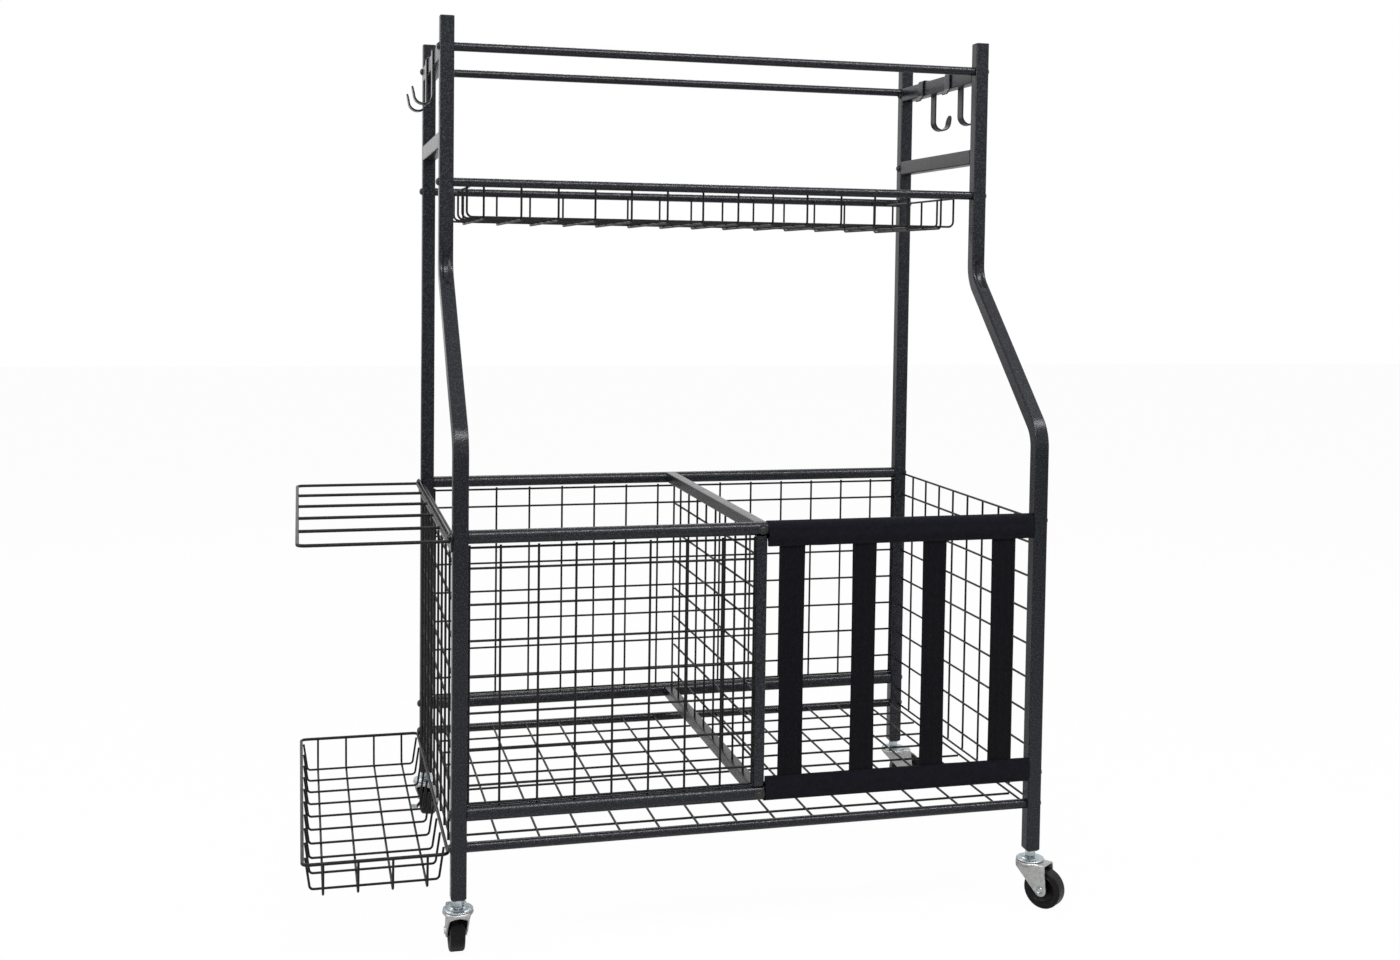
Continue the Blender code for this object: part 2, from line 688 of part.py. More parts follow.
def make_tray(cart):
    """Loops hang from the front tray rail to the rear one; runs cross them and rise to a rod at each end."""
    net = Net()
    wall = TRAY_RAIL_DIAMETER / 2 + TOUCH + WIRE
    rear, front = -wall, -UPPER_DEPTH + wall
    left, right = TRAY_LEFT_SPACE - INNER_FACE, INNER_FACE - TRAY_RIGHT_SPACE
    loops = marks(left + TRAY_LOOP_FIRST, right, TRAY_LOOP_PITCH)
    runs = marks(rear - TRAY_RUN_FIRST, front, TRAY_RUN_PITCH)
    rim, low = TRAY_RAIL_HEIGHT - TRAY_RIM_DROP, TRAY_RAIL_HEIGHT - TRAY_FLOOR_DROP
    bend = low + TRAY_CORNER
    for x in loops:
        net.joint((x, "rear"), (x, rear, TRAY_RAIL_HEIGHT), X_AXIS, Z_AXIS)
        net.joint((x, "rear bend"), (x, rear, bend), X_AXIS, bending(Z_AXIS, Y_AXIS))
        net.joint((x, "rear foot"), (x, rear - TRAY_CORNER, low), X_AXIS, bending(Y_AXIS, Z_AXIS))
        for y in runs:
            net.joint((x, y), (x, y, low), X_AXIS, Y_AXIS)
        net.joint((x, "front foot"), (x, front + TRAY_CORNER, low), X_AXIS, bending(Y_AXIS, -Z_AXIS))
        net.joint((x, "front bend"), (x, front, bend), X_AXIS, bending(Z_AXIS, -Y_AXIS))
        net.joint((x, "front"), (x, front, TRAY_RAIL_HEIGHT), X_AXIS, -Z_AXIS)
        foot_run = ["rear", "rear bend", "rear foot", *runs, "front foot", "front bend", "front"]
        net.link(*[(x, place) for place in foot_run])
    for end, x, inward in (("left", left, X_AXIS), ("right", right, -X_AXIS)):
        net.joint((end, "rear"), (x, rear, rim), Y_AXIS, Z_AXIS)
        net.joint((end, "front"), (x, front, rim), Y_AXIS, Z_AXIS)
        for y in runs:
            net.joint((end, y), (x, y, rim), Y_AXIS, Z_AXIS)
            foot = Vector((x, y, low)) + inward * TRAY_CORNER
            net.joint((end, y, "bend"), (x, y, bend), Y_AXIS, bending(Z_AXIS, -inward))
            net.joint((end, y, "foot"), foot, Y_AXIS, bending(-inward, Z_AXIS))
        net.link((end, "rear"), *[(end, y) for y in runs], (end, "front"))
    for y in runs:
        rise = [("left", y), ("left", y, "bend"), ("left", y, "foot")]
        fall = [("right", y, "foot"), ("right", y, "bend"), ("right", y)]
        net.link(*rise, *[(x, y) for x in loops], *fall)
    piece("tray_basket", net.mesh("tray_basket"), "wire_coat", cart)


def make_side_rack(cart):
    """A strip bolted flat to the outer faces of the left posts carries a ladder of rod."""
    half = STRIP_THICKNESS / 2
    strip_x = -(OUTER_FACE + TOUCH + half)
    rear, front = STRIP_OVERHANG, -LOWER_DEPTH - STRIP_OVERHANG
    height = UPPER_RAIL_HEIGHT + STRIP_RISE - STRIP_HEIGHT / 2
    loop = strip_section(STRIP_THICKNESS, STRIP_HEIGHT)
    mesh = solid_run([Y_AXIS * front, Y_AXIS * rear], Z_AXIS, loop, "rack_strip")
    piece("rack_strip", mesh, "frame_coat", cart, (strip_x, 0, height))

    inner = strip_x - half - TOUCH - ROD
    outer = inner - RACK_REACH
    pitch = (RACK_REAR_OVERHANG + LOWER_DEPTH + RACK_FRONT_OVERHANG) / (RACK_RUNGS - 1)
    rungs = [RACK_REAR_OVERHANG - pitch * k for k in range(RACK_RUNGS)]
    net = Net()
    for y in rungs:
        for x in (inner, outer):
            net.joint((x, y), (x, y, UPPER_RAIL_HEIGHT - RACK_DROP), X_AXIS, Y_AXIS, ROD)
        net.link((inner, y), (outer, y))
    for x in (inner, outer):
        net.link(*[(x, y) for y in rungs])
    piece("side_rack", net.mesh("side_rack"), "wire_coat", cart)


def make_side_basket(cart):
    """A rod rim, with loops under it from its outer to its inner side, and runs from its front to its rear."""
    net = Net()
    inner = -(OUTER_FACE + TOUCH + ROD)
    outer = inner - BASKET_WIDTH
    rear = BASKET_REAR_OVERHANG
    front = -LOWER_DEPTH - BASKET_FRONT_OVERHANG
    top = SHELF_RAIL_HEIGHT - BASKET_RIM_DROP
    low = top - BASKET_DEPTH
    bend = low + BASKET_FLOOR_CORNER
    loop_pitch = (rear - front - 2 * BASKET_LOOP_INSET) / (BASKET_LOOPS - 1)
    run_pitch = (BASKET_WIDTH - 2 * BASKET_RUN_INSET) / (BASKET_RUNS - 1)
    loops = [rear - BASKET_LOOP_INSET - loop_pitch * k for k in range(BASKET_LOOPS)]
    runs = [inner - BASKET_RUN_INSET - run_pitch * k for k in range(BASKET_RUNS)]

    def wall(key, x, y, way, along):
        """The joints of one wire on one wall, from the rim to the floor; way points into the basket."""
        net.joint((key, "rim"), (x, y, top), along, Z_AXIS, ROD)
        x, y = x + way.x * BASKET_TAPER, y + way.y * BASKET_TAPER
        net.joint((key, "bend"), (x, y, bend), along, bending(Z_AXIS, -way))
        x, y = x + way.x * BASKET_FLOOR_CORNER, y + way.y * BASKET_FLOOR_CORNER
        net.joint((key, "foot"), (x, y, low), along, bending(-way, Z_AXIS))
        return [(key, "rim"), (key, "bend"), (key, "foot")]

    for y in loops:
        for x in runs:
            net.joint((x, y), (x, y, low), X_AXIS, Y_AXIS)
    for y in loops:
        near = wall(("inner", y), inner, y, -X_AXIS, Y_AXIS)
        far = wall(("outer", y), outer, y, X_AXIS, Y_AXIS)
        net.link(*near, *[(x, y) for x in runs], *reversed(far))
    for x in runs:
        back = wall(("rear", x), x, rear, -Y_AXIS, X_AXIS)
        face = wall(("front", x), x, front, Y_AXIS, X_AXIS)
        net.link(*back, *[(x, y) for y in loops], *reversed(face))

    def corner(key, x, y, turn):
        """Three joints round one corner of the rim."""
        keys = []
        for k in range(3):
            angle = math.radians(turn + 45 * k)
            out = Vector((math.cos(angle), math.sin(angle), 0))
            place = Vector((x, y, top)) + out * BASKET_RIM_CORNER
            net.joint((key, k), place, out.cross(Z_AXIS), Z_AXIS, ROD)
            keys.append((key, k))
        return keys

    r = BASKET_RIM_CORNER
    rim = [(("inner", y), "rim") for y in reversed(loops)]
    rim += corner("inner rear", inner - r, rear - r, 0)
    rim += [(("rear", x), "rim") for x in runs]
    rim += corner("outer rear", outer + r, rear - r, 90)
    rim += [(("outer", y), "rim") for y in loops]
    rim += corner("outer front", outer + r, front + r, 180)
    rim += [(("front", x), "rim") for x in reversed(runs)]
    rim += corner("inner front", inner - r, front + r, 270)
    net.link(*rim, rim[0])
    piece("side_basket", net.mesh("side_basket"), "wire_coat", cart)


def hook_mesh():
    """A hook for the right side, with X measured from the centre of its bar and Z from the floor."""
    half = HOOK_THICKNESS / 2
    out = SIDE_BAR_WIDTH / 2 + TOUCH + half
    over = TOP_SIDE_BAR_HEIGHT + SIDE_BAR_HEIGHT / 2 + TOUCH + half
    centre_z = TOP_SIDE_BAR_HEIGHT - HOOK_DROP + half + HOOK_BEND
    centre_x = out + HOOK_BEND
    points = [(centre_x + HOOK_BEND + HOOK_TIP_LEAN, centre_z + HOOK_TIP_RISE)]
    for k in range(HOOK_STEPS + 1):
        angle = -math.pi * k / HOOK_STEPS
        points.append((centre_x + HOOK_BEND * math.cos(angle), centre_z + HOOK_BEND * math.sin(angle)))
    points += [(out, over), (-out, over), (-out, over - HOOK_INNER_LEG)]
    points.append((-out - HOOK_LIP_LEAN, over - HOOK_INNER_LEG - HOOK_LIP_DROP))
    path = [Vector((x, 0, z)) for x, z in points]
    loop = strip_section(HOOK_THICKNESS, HOOK_WIDTH)
    return solid_run(path, Y_AXIS, loop, "hook")


def make_hooks(cart):
    mesh = hook_mesh()
    for side, x, turn in (("left", -HALF_SPAN, 180.0), ("right", HALF_SPAN, 0.0)):
        for place, back in zip(("rear", "front"), HOOK_FROM_REAR):
            slide = empty(f"hook_{side}_{place}_slide", cart, (x, -back, 0), turn)
            piece(f"hook_{side}_{place}", mesh, "frame_coat", slide)


def sleeve_section(rail_diameter):
    """Outline of a sewn loop of cloth round a rail, which narrows to a tail under it."""
    outer = circle(rail_diameter + 2 * TOUCH + 2 * SLEEVE_CLOTH, SLEEVE_SIDES)
    foot = SLEEVE_SIDES * 3 // 4
    outer[foot] = (0, -SLEEVE_TAIL)
    shoulder = SLEEVE_TAIL_WIDTH / 4 - SLEEVE_TAIL
    outer[foot - 1] = (-SLEEVE_TAIL_WIDTH / 2, shoulder)
    outer[foot + 1] = (SLEEVE_TAIL_WIDTH / 2, shoulder)
    return outer


def sleeve_mesh(rail_diameter, name):
    inner = circle(rail_diameter + 2 * TOUCH, SLEEVE_SIDES)
    path = [X_AXIS * SLEEVE_RIGHT, X_AXIS * SLEEVE_LEFT]
    return tube_run(path, Z_AXIS, sleeve_section(rail_diameter), inner, name, smooth=True)


def sleeve_front(rail_diameter):
    """How far the front of a sleeve stands out from its rail's axis at the top of a strap's lap."""
    outer = sleeve_section(rail_diameter)
    foot = SLEEVE_SIDES * 3 // 4
    (low_out, low), (high_out, high) = outer[foot + 1], outer[foot + 2]
    share = (STRAP_LAP - SLEEVE_TAIL - low) / (high - low)
    return low_out + (high_out - low_out) * min(max(share, 0.0), 1.0)


def make_straps(cart):
    """Two sleeves with their tails towards each other, and the straps sewn on in front of the tails."""
    upper = sleeve_mesh(UPPER_RAIL_DIAMETER, "sleeve_upper")
    lower = sleeve_mesh(LOWER_RAIL_DIAMETER, "sleeve_lower")
    lower.transform(Matrix.Rotation(math.pi, 4, X_AXIS))
    piece("sleeve_upper", upper, "strap_cloth", cart, (0, -LOWER_DEPTH, UPPER_RAIL_HEIGHT))
    piece("sleeve_lower", lower, "strap_cloth", cart, (0, -LOWER_DEPTH, LOWER_RAIL_HEIGHT))

    top = UPPER_RAIL_HEIGHT - SLEEVE_TAIL + STRAP_LAP
    bottom = LOWER_RAIL_HEIGHT + SLEEVE_TAIL - STRAP_LAP
    widest = max(sleeve_front(UPPER_RAIL_DIAMETER), sleeve_front(LOWER_RAIL_DIAMETER))
    y = -LOWER_DEPTH - widest - TOUCH - STRAP_THICKNESS / 2
    loop = strip_section(STRAP_THICKNESS, STRAP_WIDTH)
    mesh = solid_run([Z_AXIS * bottom, Z_AXIS * top], X_AXIS, loop, "strap")
    first, last = SLEEVE_LEFT + STRAP_FIRST, SLEEVE_RIGHT - STRAP_LAST
    for k in range(STRAP_COUNT):
        x = first + (last - first) * k / (STRAP_COUNT - 1)
        piece(f"strap_{k + 1}", mesh, "strap_cloth", cart, (x, y, 0))


def stem_mesh():
    """Square plug in the post, hexagon nut, upper race and kingpin, from the post's end down."""
    bore = POST_TUBE - 2 * POST_WALL - 2 * TOUCH
    pin, head = KINGPIN_DIAMETER / 2, KINGPIN_HEAD_DIAMETER / 2
    head_top = HOOD_BOTTOM - TOUCH
    race = turned(
        [
            (0, head_top - KINGPIN_HEAD),
            (head, head_top - KINGPIN_HEAD),
            (head, head_top),
            (pin, head_top),
            (pin, RACE_BOTTOM),
            (RACE_DIAMETER / 2, RACE_BOTTOM),
            (RACE_DIAMETER / 2, RACE_BOTTOM + RACE_RIM),
            (RACE_CROWN_DIAMETER / 2, RACE_TOP),
            (0, RACE_TOP),
        ],
        ROUND_SIDES,
        "race",
    )
    nut_diameter = NUT_ACROSS_FLATS / math.cos(math.pi / 6)
    nut_path = [Z_AXIS * (RACE_TOP - RACE_RIM), Z_AXIS * (POST_BOTTOM + PLUG_HEIGHT / 2)]
    nut = solid_run(nut_path, X_AXIS, circle(nut_diameter, 6), "nut")
    plug_path = [Z_AXIS * POST_BOTTOM, Z_AXIS * (POST_BOTTOM + PLUG_HEIGHT)]
    plug = solid_run(plug_path, X_AXIS, rectangle(bore, bore, POST_CORNER), "plug")
    return combined("caster_stem", [race, nut, plug])


def prism(outline, place, levels, name):
    """A solid between two copies of an outline. place turns a point of it and a level into a vector."""
    bm = bmesh.new()
    near, far = [[bm.verts.new(place(*point, level)) for point in outline] for level in levels]
    bridge(bm, near, far)
    bm.faces.new(near)
    bm.faces.new(far)
    return mesh_of(bm, name)


def from_above(x, y, level):
    return Vector((x, y, level))


def from_the_side(x, z, level):
    return Vector((x, level, z))


def hood_outline(inset, front):
    """The fork from above: a disc under the race, run out square over the wheel as far as front."""
    radius, half = HOOD_DIAMETER / 2 - inset, CHEEK_OUTSIDE - inset
    first = math.asin(half / radius)
    points = [(front, -half), (front, half)]
    for k in range(ROUND_SIDES):
        angle = first + (math.tau - 2 * first) * k / (ROUND_SIDES - 1)
        points.append((radius * math.cos(angle), radius * math.sin(angle)))
    return points


def touching(point, way):
    """The angle at which a straight edge from a point meets the round end of a cheek."""
    away = Vector(point) - Vector((TRAIL, AXLE_HEIGHT))
    return math.atan2(away.y, away.x) + way * math.acos(CHEEK_END_DIAMETER / 2 / away.length)


def cheek_outline():
    """The fork from the side: a slant from its back edge down to the round end about the axle, and a
    steep edge back up to the front of its top. Both edges run on past the fork's walls."""
    radius = HOOD_DIAMETER / 2
    back, front = Vector((-radius, HOOD_TOP - HOOD_BACK_DROP)), Vector((HOOD_REACH, HOOD_TOP))
    first, last = touching(back, 1), touching(front, -1) + math.tau
    around = []
    for k in range(CHEEK_END_STEPS):
        angle = first + (last - first) * k / (CHEEK_END_STEPS - 1)
        out = Vector((math.cos(angle), math.sin(angle)))
        around.append(Vector((TRAIL, AXLE_HEIGHT)) + out * CHEEK_END_DIAMETER / 2)
    past_back = back + (back - around[0]) / 4
    past_front = front + (front - around[-1]) / 4
    return [(past_back.x, past_front.y), past_back, *around, past_front]


def axle_mesh(rear, front):
    """The riveted axle across the fork. rear and front are how far the feet of its two heads stand out."""
    shank, head, flat = AXLE_DIAMETER / 2, AXLE_HEAD_DIAMETER / 2, AXLE_HEAD_FLAT / 2
    profile = [
        (0, -rear - AXLE_HEAD),
        (flat, -rear - AXLE_HEAD),
        (head, -rear),
        (shank, -rear),
        (shank, front),
        (head, front),
        (flat, front + AXLE_HEAD),
        (0, front + AXLE_HEAD),
    ]
    mesh = turned(profile, SMALL_SIDES, "axle", along=Y_AXIS)
    mesh.transform(Matrix.Translation((TRAIL, 0, AXLE_HEIGHT)))
    return mesh


def fork_mesh(name, braked):
    """A pressed hood whose walls are the cheeks, with the kingpin's hole and the axle, which is longer at
    the +Y cheek with a brake."""
    ahead = TRAIL + CHEEK_END_DIAMETER
    outside = prism(hood_outline(0, ahead), from_above, (0, HOOD_TOP), "outside")
    profile = prism(cheek_outline(), from_the_side, (-HOOD_DIAMETER, HOOD_DIAMETER), "profile")
    inside_levels = (-CHEEK_THICKNESS, HOOD_BOTTOM)
    inside = prism(hood_outline(CHEEK_THICKNESS, ahead * 2), from_above, inside_levels, "inside")
    hole_path = [Vector(), Z_AXIS * 2 * HOOD_TOP]
    hole = solid_run(hole_path, X_AXIS, circle(KINGPIN_DIAMETER + 2 * TOUCH, ROUND_SIDES), "hole")
    block = combined("block", [outside, profile], "INTERSECT")
    hood = combined("hood", [block, inside, hole], "DIFFERENCE")
    foot = CHEEK_OUTSIDE - SINK
    axle = axle_mesh(foot, CHEEK_OUTSIDE + ROCKER_THICKNESS + 2 * TOUCH if braked else foot)
    return combined(name, [hood, axle])


def wheel_mesh():
    """Tyre and hub in one, turned about the Y axis, with a dish in each side and a bore for the axle.
    The wheel's diameter is measured over its flats, and it stands on one of them."""
    bore = AXLE_DIAMETER / 2 + TOUCH
    radius, half = WHEEL_DIAMETER / 2 / math.cos(math.pi / WHEEL_SIDES), WHEEL_WIDTH / 2
    side = [
        (bore, HUB_LENGTH / 2),
        (HUB_DIAMETER / 2, HUB_LENGTH / 2),
        (HUB_DIAMETER / 2, half - WHEEL_DISH),
        (WHEEL_DISH_DIAMETER / 2, half),
        (radius - WHEEL_TREAD_ROUND, half),
        (radius, half - WHEEL_TREAD_ROUND),
    ]
    profile = side + [(r, -z) for r, z in reversed(side)]
    return turned(profile, WHEEL_SIDES, "wheel", along=Y_AXIS)


def rocker_mesh():
    """A strip outside the +Y cheek with an ear turned out at each end, under its eye and web."""
    half = ROCKER_THICKNESS / 2
    y = CHEEK_OUTSIDE + TOUCH + half
    reach = ROCKER_LENGTH / 2 - half
    ear = y + ROCKER_EAR
    points = [(-reach, ear), (-reach, y), (reach, y), (reach, ear)]
    path = [Vector((x, y, -ROCKER_DROP)) for x, y in points]
    loop = strip_section(ROCKER_THICKNESS, ROCKER_HEIGHT)
    strip = solid_run(path, Z_AXIS, loop, "strip")
    bore, rim = AXLE_DIAMETER / 2 + TOUCH, ROCKER_EYE_DIAMETER / 2
    profile = [(bore, -half), (rim, -half), (rim, half), (bore, half)]
    eye = turned(profile, ROUND_SIDES, "eye", along=Y_AXIS)
    eye.transform(Matrix.Translation(Y_AXIS * y))
    thin = strip_section(ROCKER_THICKNESS - 2 * TOUCH, ROCKER_WEB_WIDTH)
    web_path = [Vector((0, y, -ROCKER_DROP)), Vector((0, y, -(bore + rim) / 2))]
    web = solid_run(web_path, X_AXIS, thin, "web")
    return combined("brake_rocker", [eye, web, strip])


def make_casters(cart):
    stem, wheel, rocker = stem_mesh(), wheel_mesh(), rocker_mesh()
    forks = {"front": fork_mesh("fork", False), "rear": fork_mesh("braked_fork", True)}
    for corner, angle in TRAIL_ANGLE.items():
        side, end = corner.split("_")
        x = -HALF_SPAN if side == "left" else HALF_SPAN
        y = -LOWER_DEPTH if end == "front" else 0
        piece(f"caster_{corner}_stem", stem, "zinc_plate", cart, (x, y, 0))
        swivel = empty(f"caster_{corner}_swivel", cart, (x, y, 0), angle)
        piece(f"caster_{corner}_fork", forks[end], "zinc_plate", swivel)
        axle = empty(f"caster_{corner}_axle", swivel, (TRAIL, 0, AXLE_HEIGHT))
        piece(f"caster_{corner}_wheel", wheel, "wheel_rubber", axle)
        if end == "rear":
            piece(f"caster_{corner}_brake", rocker, "zinc_plate", axle)


def settle(cart):
    """Moves the whole cart so that the origin is under the centre of its box, on the floor."""
    bpy.context.view_layer.update()
    points = []
    for obj in bpy.data.objects:
        if obj.type == "MESH":
            points += [obj.matrix_world @ vertex.co for vertex in obj.data.vertices]
    low = [min(point[k] for point in points) for k in range(3)]
    high = [max(point[k] for point in points) for k in range(3)]
    cart.location = (-(low[0] + high[0]) / 2, -(low[1] + high[1]) / 2, -low[2])


def main():
    clear_scene()
    cart = empty("cart")
    make_posts(cart)
    make_rails(cart)
    make_side_bars(cart)
    make_side_grids(cart)
    make_rear_grid(cart)
    make_front_grid(cart)
    make_shelf_grid(cart)
    make_divider(cart)
    make_tray(cart)
    make_side_rack(cart)
    make_side_basket(cart)
    make_hooks(cart)
    make_straps(cart)
    make_casters(cart)
    settle(cart)


main()
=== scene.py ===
# %% [markdown]
# # A rolling equipment cart, dressed over its imported model
# The imported model holds every solid of the cart in its place, and the joints that move it. This lesson
# keeps those places and gives each piece the form and the finish of the real one: round welded wire,
# cranked square posts in a hammered coat, zinc casters, cloth sleeves and elastic straps.
#
# Its solids are kept at once, with their transforms applied, because the dressed pieces take their sizes
# from them.

# %% Load the imported cart
import math

import bmesh
import bpy
from mathutils import Matrix, Vector


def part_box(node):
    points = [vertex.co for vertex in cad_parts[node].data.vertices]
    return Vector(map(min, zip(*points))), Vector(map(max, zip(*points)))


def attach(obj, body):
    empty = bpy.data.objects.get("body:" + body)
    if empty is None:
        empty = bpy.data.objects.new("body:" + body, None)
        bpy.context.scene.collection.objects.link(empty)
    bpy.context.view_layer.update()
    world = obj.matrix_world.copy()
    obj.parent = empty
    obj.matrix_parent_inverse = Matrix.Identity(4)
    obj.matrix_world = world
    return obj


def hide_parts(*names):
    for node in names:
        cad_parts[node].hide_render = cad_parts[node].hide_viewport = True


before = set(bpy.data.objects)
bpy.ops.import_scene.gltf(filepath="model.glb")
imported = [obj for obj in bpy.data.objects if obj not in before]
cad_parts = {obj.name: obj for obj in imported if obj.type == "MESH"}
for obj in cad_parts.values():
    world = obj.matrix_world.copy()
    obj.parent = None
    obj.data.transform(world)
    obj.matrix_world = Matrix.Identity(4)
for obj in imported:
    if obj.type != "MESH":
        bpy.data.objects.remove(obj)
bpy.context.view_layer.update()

# %% [markdown]
# ## Where things stand
# Nothing is placed by eye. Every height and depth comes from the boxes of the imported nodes, so that the
# dressed pieces land exactly on the solids they stand for.

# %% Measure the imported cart
X_AXIS = Vector((1, 0, 0))
Y_AXIS = Vector((0, 1, 0))
Z_AXIS = Vector((0, 0, 1))


def middle(node):
    low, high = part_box(node)
    return (Vector(low) + Vector(high)) / 2


def extent(node):
    low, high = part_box(node)
    return Vector(high) - Vector(low)


SIDES = {"left": middle("post_left_rear").x, "right": middle("post_right_rear").x}
REAR = middle("post_left_rear").y
LOW_FRONT = middle("caster_left_front_stem").y
HIGH_FRONT = middle("cap_left_front").y
POST_FOOT, POST_TOP = (corner.z for corner in map(Vector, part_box("post_left_rear")))
TUBE = extent("post_left_rear").x
print(f"posts {SIDES['right'] - SIDES['left']:.3f} m apart, tube {TUBE * 1000:.1f} mm")

# %% [markdown]
# ## Finishes from nodes
# Each finish is a recipe of noise and simple maths on the object's own coordinates, so it needs no image
# and no unwrapping. One function adds a node and fills its inputs, and a small class keeps the recipes
# short: one call for a cloudy pattern, one to spread it between two values, one to raise it as a bump.

# %% A function for nodes and a class for finishes
def add_node(tree, kind, inputs=None, **settings):
    """A node with its settings, whose inputs are plain values or the outputs of other nodes."""
    node = tree.nodes.new(kind)
    for key, value in settings.items():
        setattr(node, key, value)
    for key, value in (inputs or {}).items():
        if isinstance(value, bpy.types.NodeSocket):
            tree.links.new(value, node.inputs[key])
        else:
            node.inputs[key].default_value = value
    return node


class Finish:
    """A material that starts from the Principled shader, with short calls for the nodes of its recipe."""

    def __init__(self, name, slot, roughness, metallic=0.0, sockets=None):
        self.material = bpy.data.materials.new(name)
        self.material["slot"] = slot
        self.material.use_nodes = True
        self.tree = self.material.node_tree
        self.shader = self.tree.nodes["Principled BSDF"]
        for socket, value in {"Roughness": roughness, "Metallic": metallic, **(sockets or {})}.items():
            self.shader.inputs[socket].default_value = value
        self.place = add_node(self.tree, "ShaderNodeTexCoord").outputs["Object"]

    def output(self, kind, inputs, which=0, **settings):
        """One output of a new node."""
        return add_node(self.tree, kind, inputs, **settings).outputs[which]

    def cloud(self, scale, detail=2.0):
        """Soft grey patches, scale of them to a metre."""
        values = {"Vector": self.place, "Scale": scale, "Detail": detail}
        return self.output("ShaderNodeTexNoise", values, "Fac")

    def cells(self, scale):
        """Small round cells, dark in the middle."""
        return self.output("ShaderNodeTexVoronoi", {"Vector": self.place, "Scale": scale}, "Distance")

    def bands(self, scale, axis):
        """Even stripes across one axis, scale of them to 0.31 m."""
        values = {"Vector": self.place, "Scale": scale}
        return self.output("ShaderNodeTexWave", values, "Fac", bands_direction=axis)

    def spread(self, value, low, high, start=0.3, end=0.7):
        """Grey values from start to end become numbers from low to high."""
        values = {"Value": value, "From Min": start, "From Max": end, "To Min": low, "To Max": high}
        return self.output("ShaderNodeMapRange", values)

    def plus(self, one, other):
        return self.output("ShaderNodeMath", {0: one, 1: other}, operation="ADD")

    def times(self, one, other):
        return self.output("ShaderNodeMath", {0: one, 1: other}, operation="MULTIPLY")

    def link(self, value, socket):
        self.tree.links.new(value, self.shader.inputs[socket])

    def paint(self, value, dark, light):
        """The base colour, from dark to light over a grey value of 0 to 1."""
        values = {0: value, 6: (*dark, 1), 7: (*light, 1)}
        self.link(self.output("ShaderNodeMix", values, 2, data_type="RGBA"), "Base Color")

    def rough(self, value):
        self.link(value, "Roughness")

    def raised(self, height, depth):
        """A bump as deep as so many metres."""
        values = {"Height": height, "Distance": depth, "Strength": 1.0}
        self.link(self.output("ShaderNodeBump", values), "Normal")


# %% [markdown]
# ## The painted finishes
# The tubes wear a hammered powder coat: black with a cold cast, full of small cells that break every
# highlight, with paler flecks where the coat is thin. Cells of about two millimetres give the right
# speckle. The wire wears a plainer and duller black coat, and the tube caps are moulded in satin plastic.
# A picture of such a coat would blur close up, while noise stays sharp at any distance.

# %% Hammered coat, wire coat and cap plastic
def make_hammered_coat():
    finish = Finish("hammered_coat", "frame_coat", 0.3, sockets={"Specular IOR Level": 0.29})
    fleck = finish.spread(finish.cloud(480, 3.0), 0.0, 1.0, 0.50, 0.68)
    finish.paint(fleck, (0.0026, 0.0028, 0.0050), (0.037, 0.041, 0.056))
    finish.rough(finish.spread(finish.cloud(60), 0.20, 0.27))
    finish.raised(finish.plus(finish.cells(520), finish.cloud(900)), 0.00013)
    return finish.material


def make_wire_coat():
    finish = Finish("wire_coat", "wire_coat", 0.36, sockets={"Specular IOR Level": 0.18})
    finish.paint(finish.cloud(300), (0.003, 0.003, 0.0034), (0.010, 0.010, 0.010))
    finish.rough(finish.spread(finish.cloud(90), 0.30, 0.46))
    finish.raised(finish.cloud(700, 3.0), 0.00012)
    return finish.material


def make_cap_plastic():
    finish = Finish("cap_plastic", "cap_plastic", 0.5, sockets={"Specular IOR Level": 0.3})
    finish.paint(finish.cloud(500), (0.013, 0.013, 0.014), (0.024, 0.024, 0.025))
    finish.rough(finish.spread(finish.cloud(150), 0.42, 0.58))
    finish.raised(finish.cloud(2200, 2.0), 0.00008)
    return finish.material


HAMMERED_COAT = make_hammered_coat()
WIRE_COAT = make_wire_coat()
CAP_PLASTIC = make_cap_plastic()
print("painted finishes:", HAMMERED_COAT.name, WIRE_COAT.name, CAP_PLASTIC.name)


# %% [markdown]
# ## Zinc, rubber and bolts
# Zinc plate is a metal with a faint blue cloudiness and a very fine grain. The forks are duller than the
# races and nuts, as barrel-plated sheet is. The wheel is hard black rubber, greyed here and there by
# scuffs, and the bolts are blackened steel, a little paler than the coat around them. One function makes
# both kinds of zinc, so that they differ only in tone and gloss.

# %% Zinc plate, dull zinc, rubber and black steel
def make_zinc(name, dark, light, smooth, coarse):
    finish = Finish(name, "zinc_plate", smooth, metallic=1.0)
    finish.paint(finish.spread(finish.cloud(160, 4.0), 0, 1), dark, light)
    finish.rough(finish.spread(finish.cloud(420, 3.0), smooth, coarse))
    finish.raised(finish.cloud(900, 3.0), 0.00003)
    return finish.material


def make_rubber():
    finish = Finish("wheel_rubber", "wheel_rubber", 0.5, sockets={"Specular IOR Level": 0.16})
    scuff = finish.spread(finish.cloud(380, 6.0), 0.0, 1.0, 0.54, 0.78)
    finish.paint(scuff, (0.0025, 0.0025, 0.0028), (0.022, 0.0215, 0.022))
    finish.rough(finish.spread(finish.cloud(200), 0.28, 0.46))
    finish.raised(finish.cloud(900, 4.0), 0.00012)
    return finish.material


def make_black_steel():
    finish = Finish("black_steel", "frame_coat", 0.3, metallic=0.4)
    finish.paint(finish.cloud(800), (0.012, 0.012, 0.013), (0.035, 0.035, 0.037))
    finish.rough(finish.spread(finish.cloud(600), 0.22, 0.38))
    finish.raised(finish.cloud(2000), 0.00005)
    return finish.material


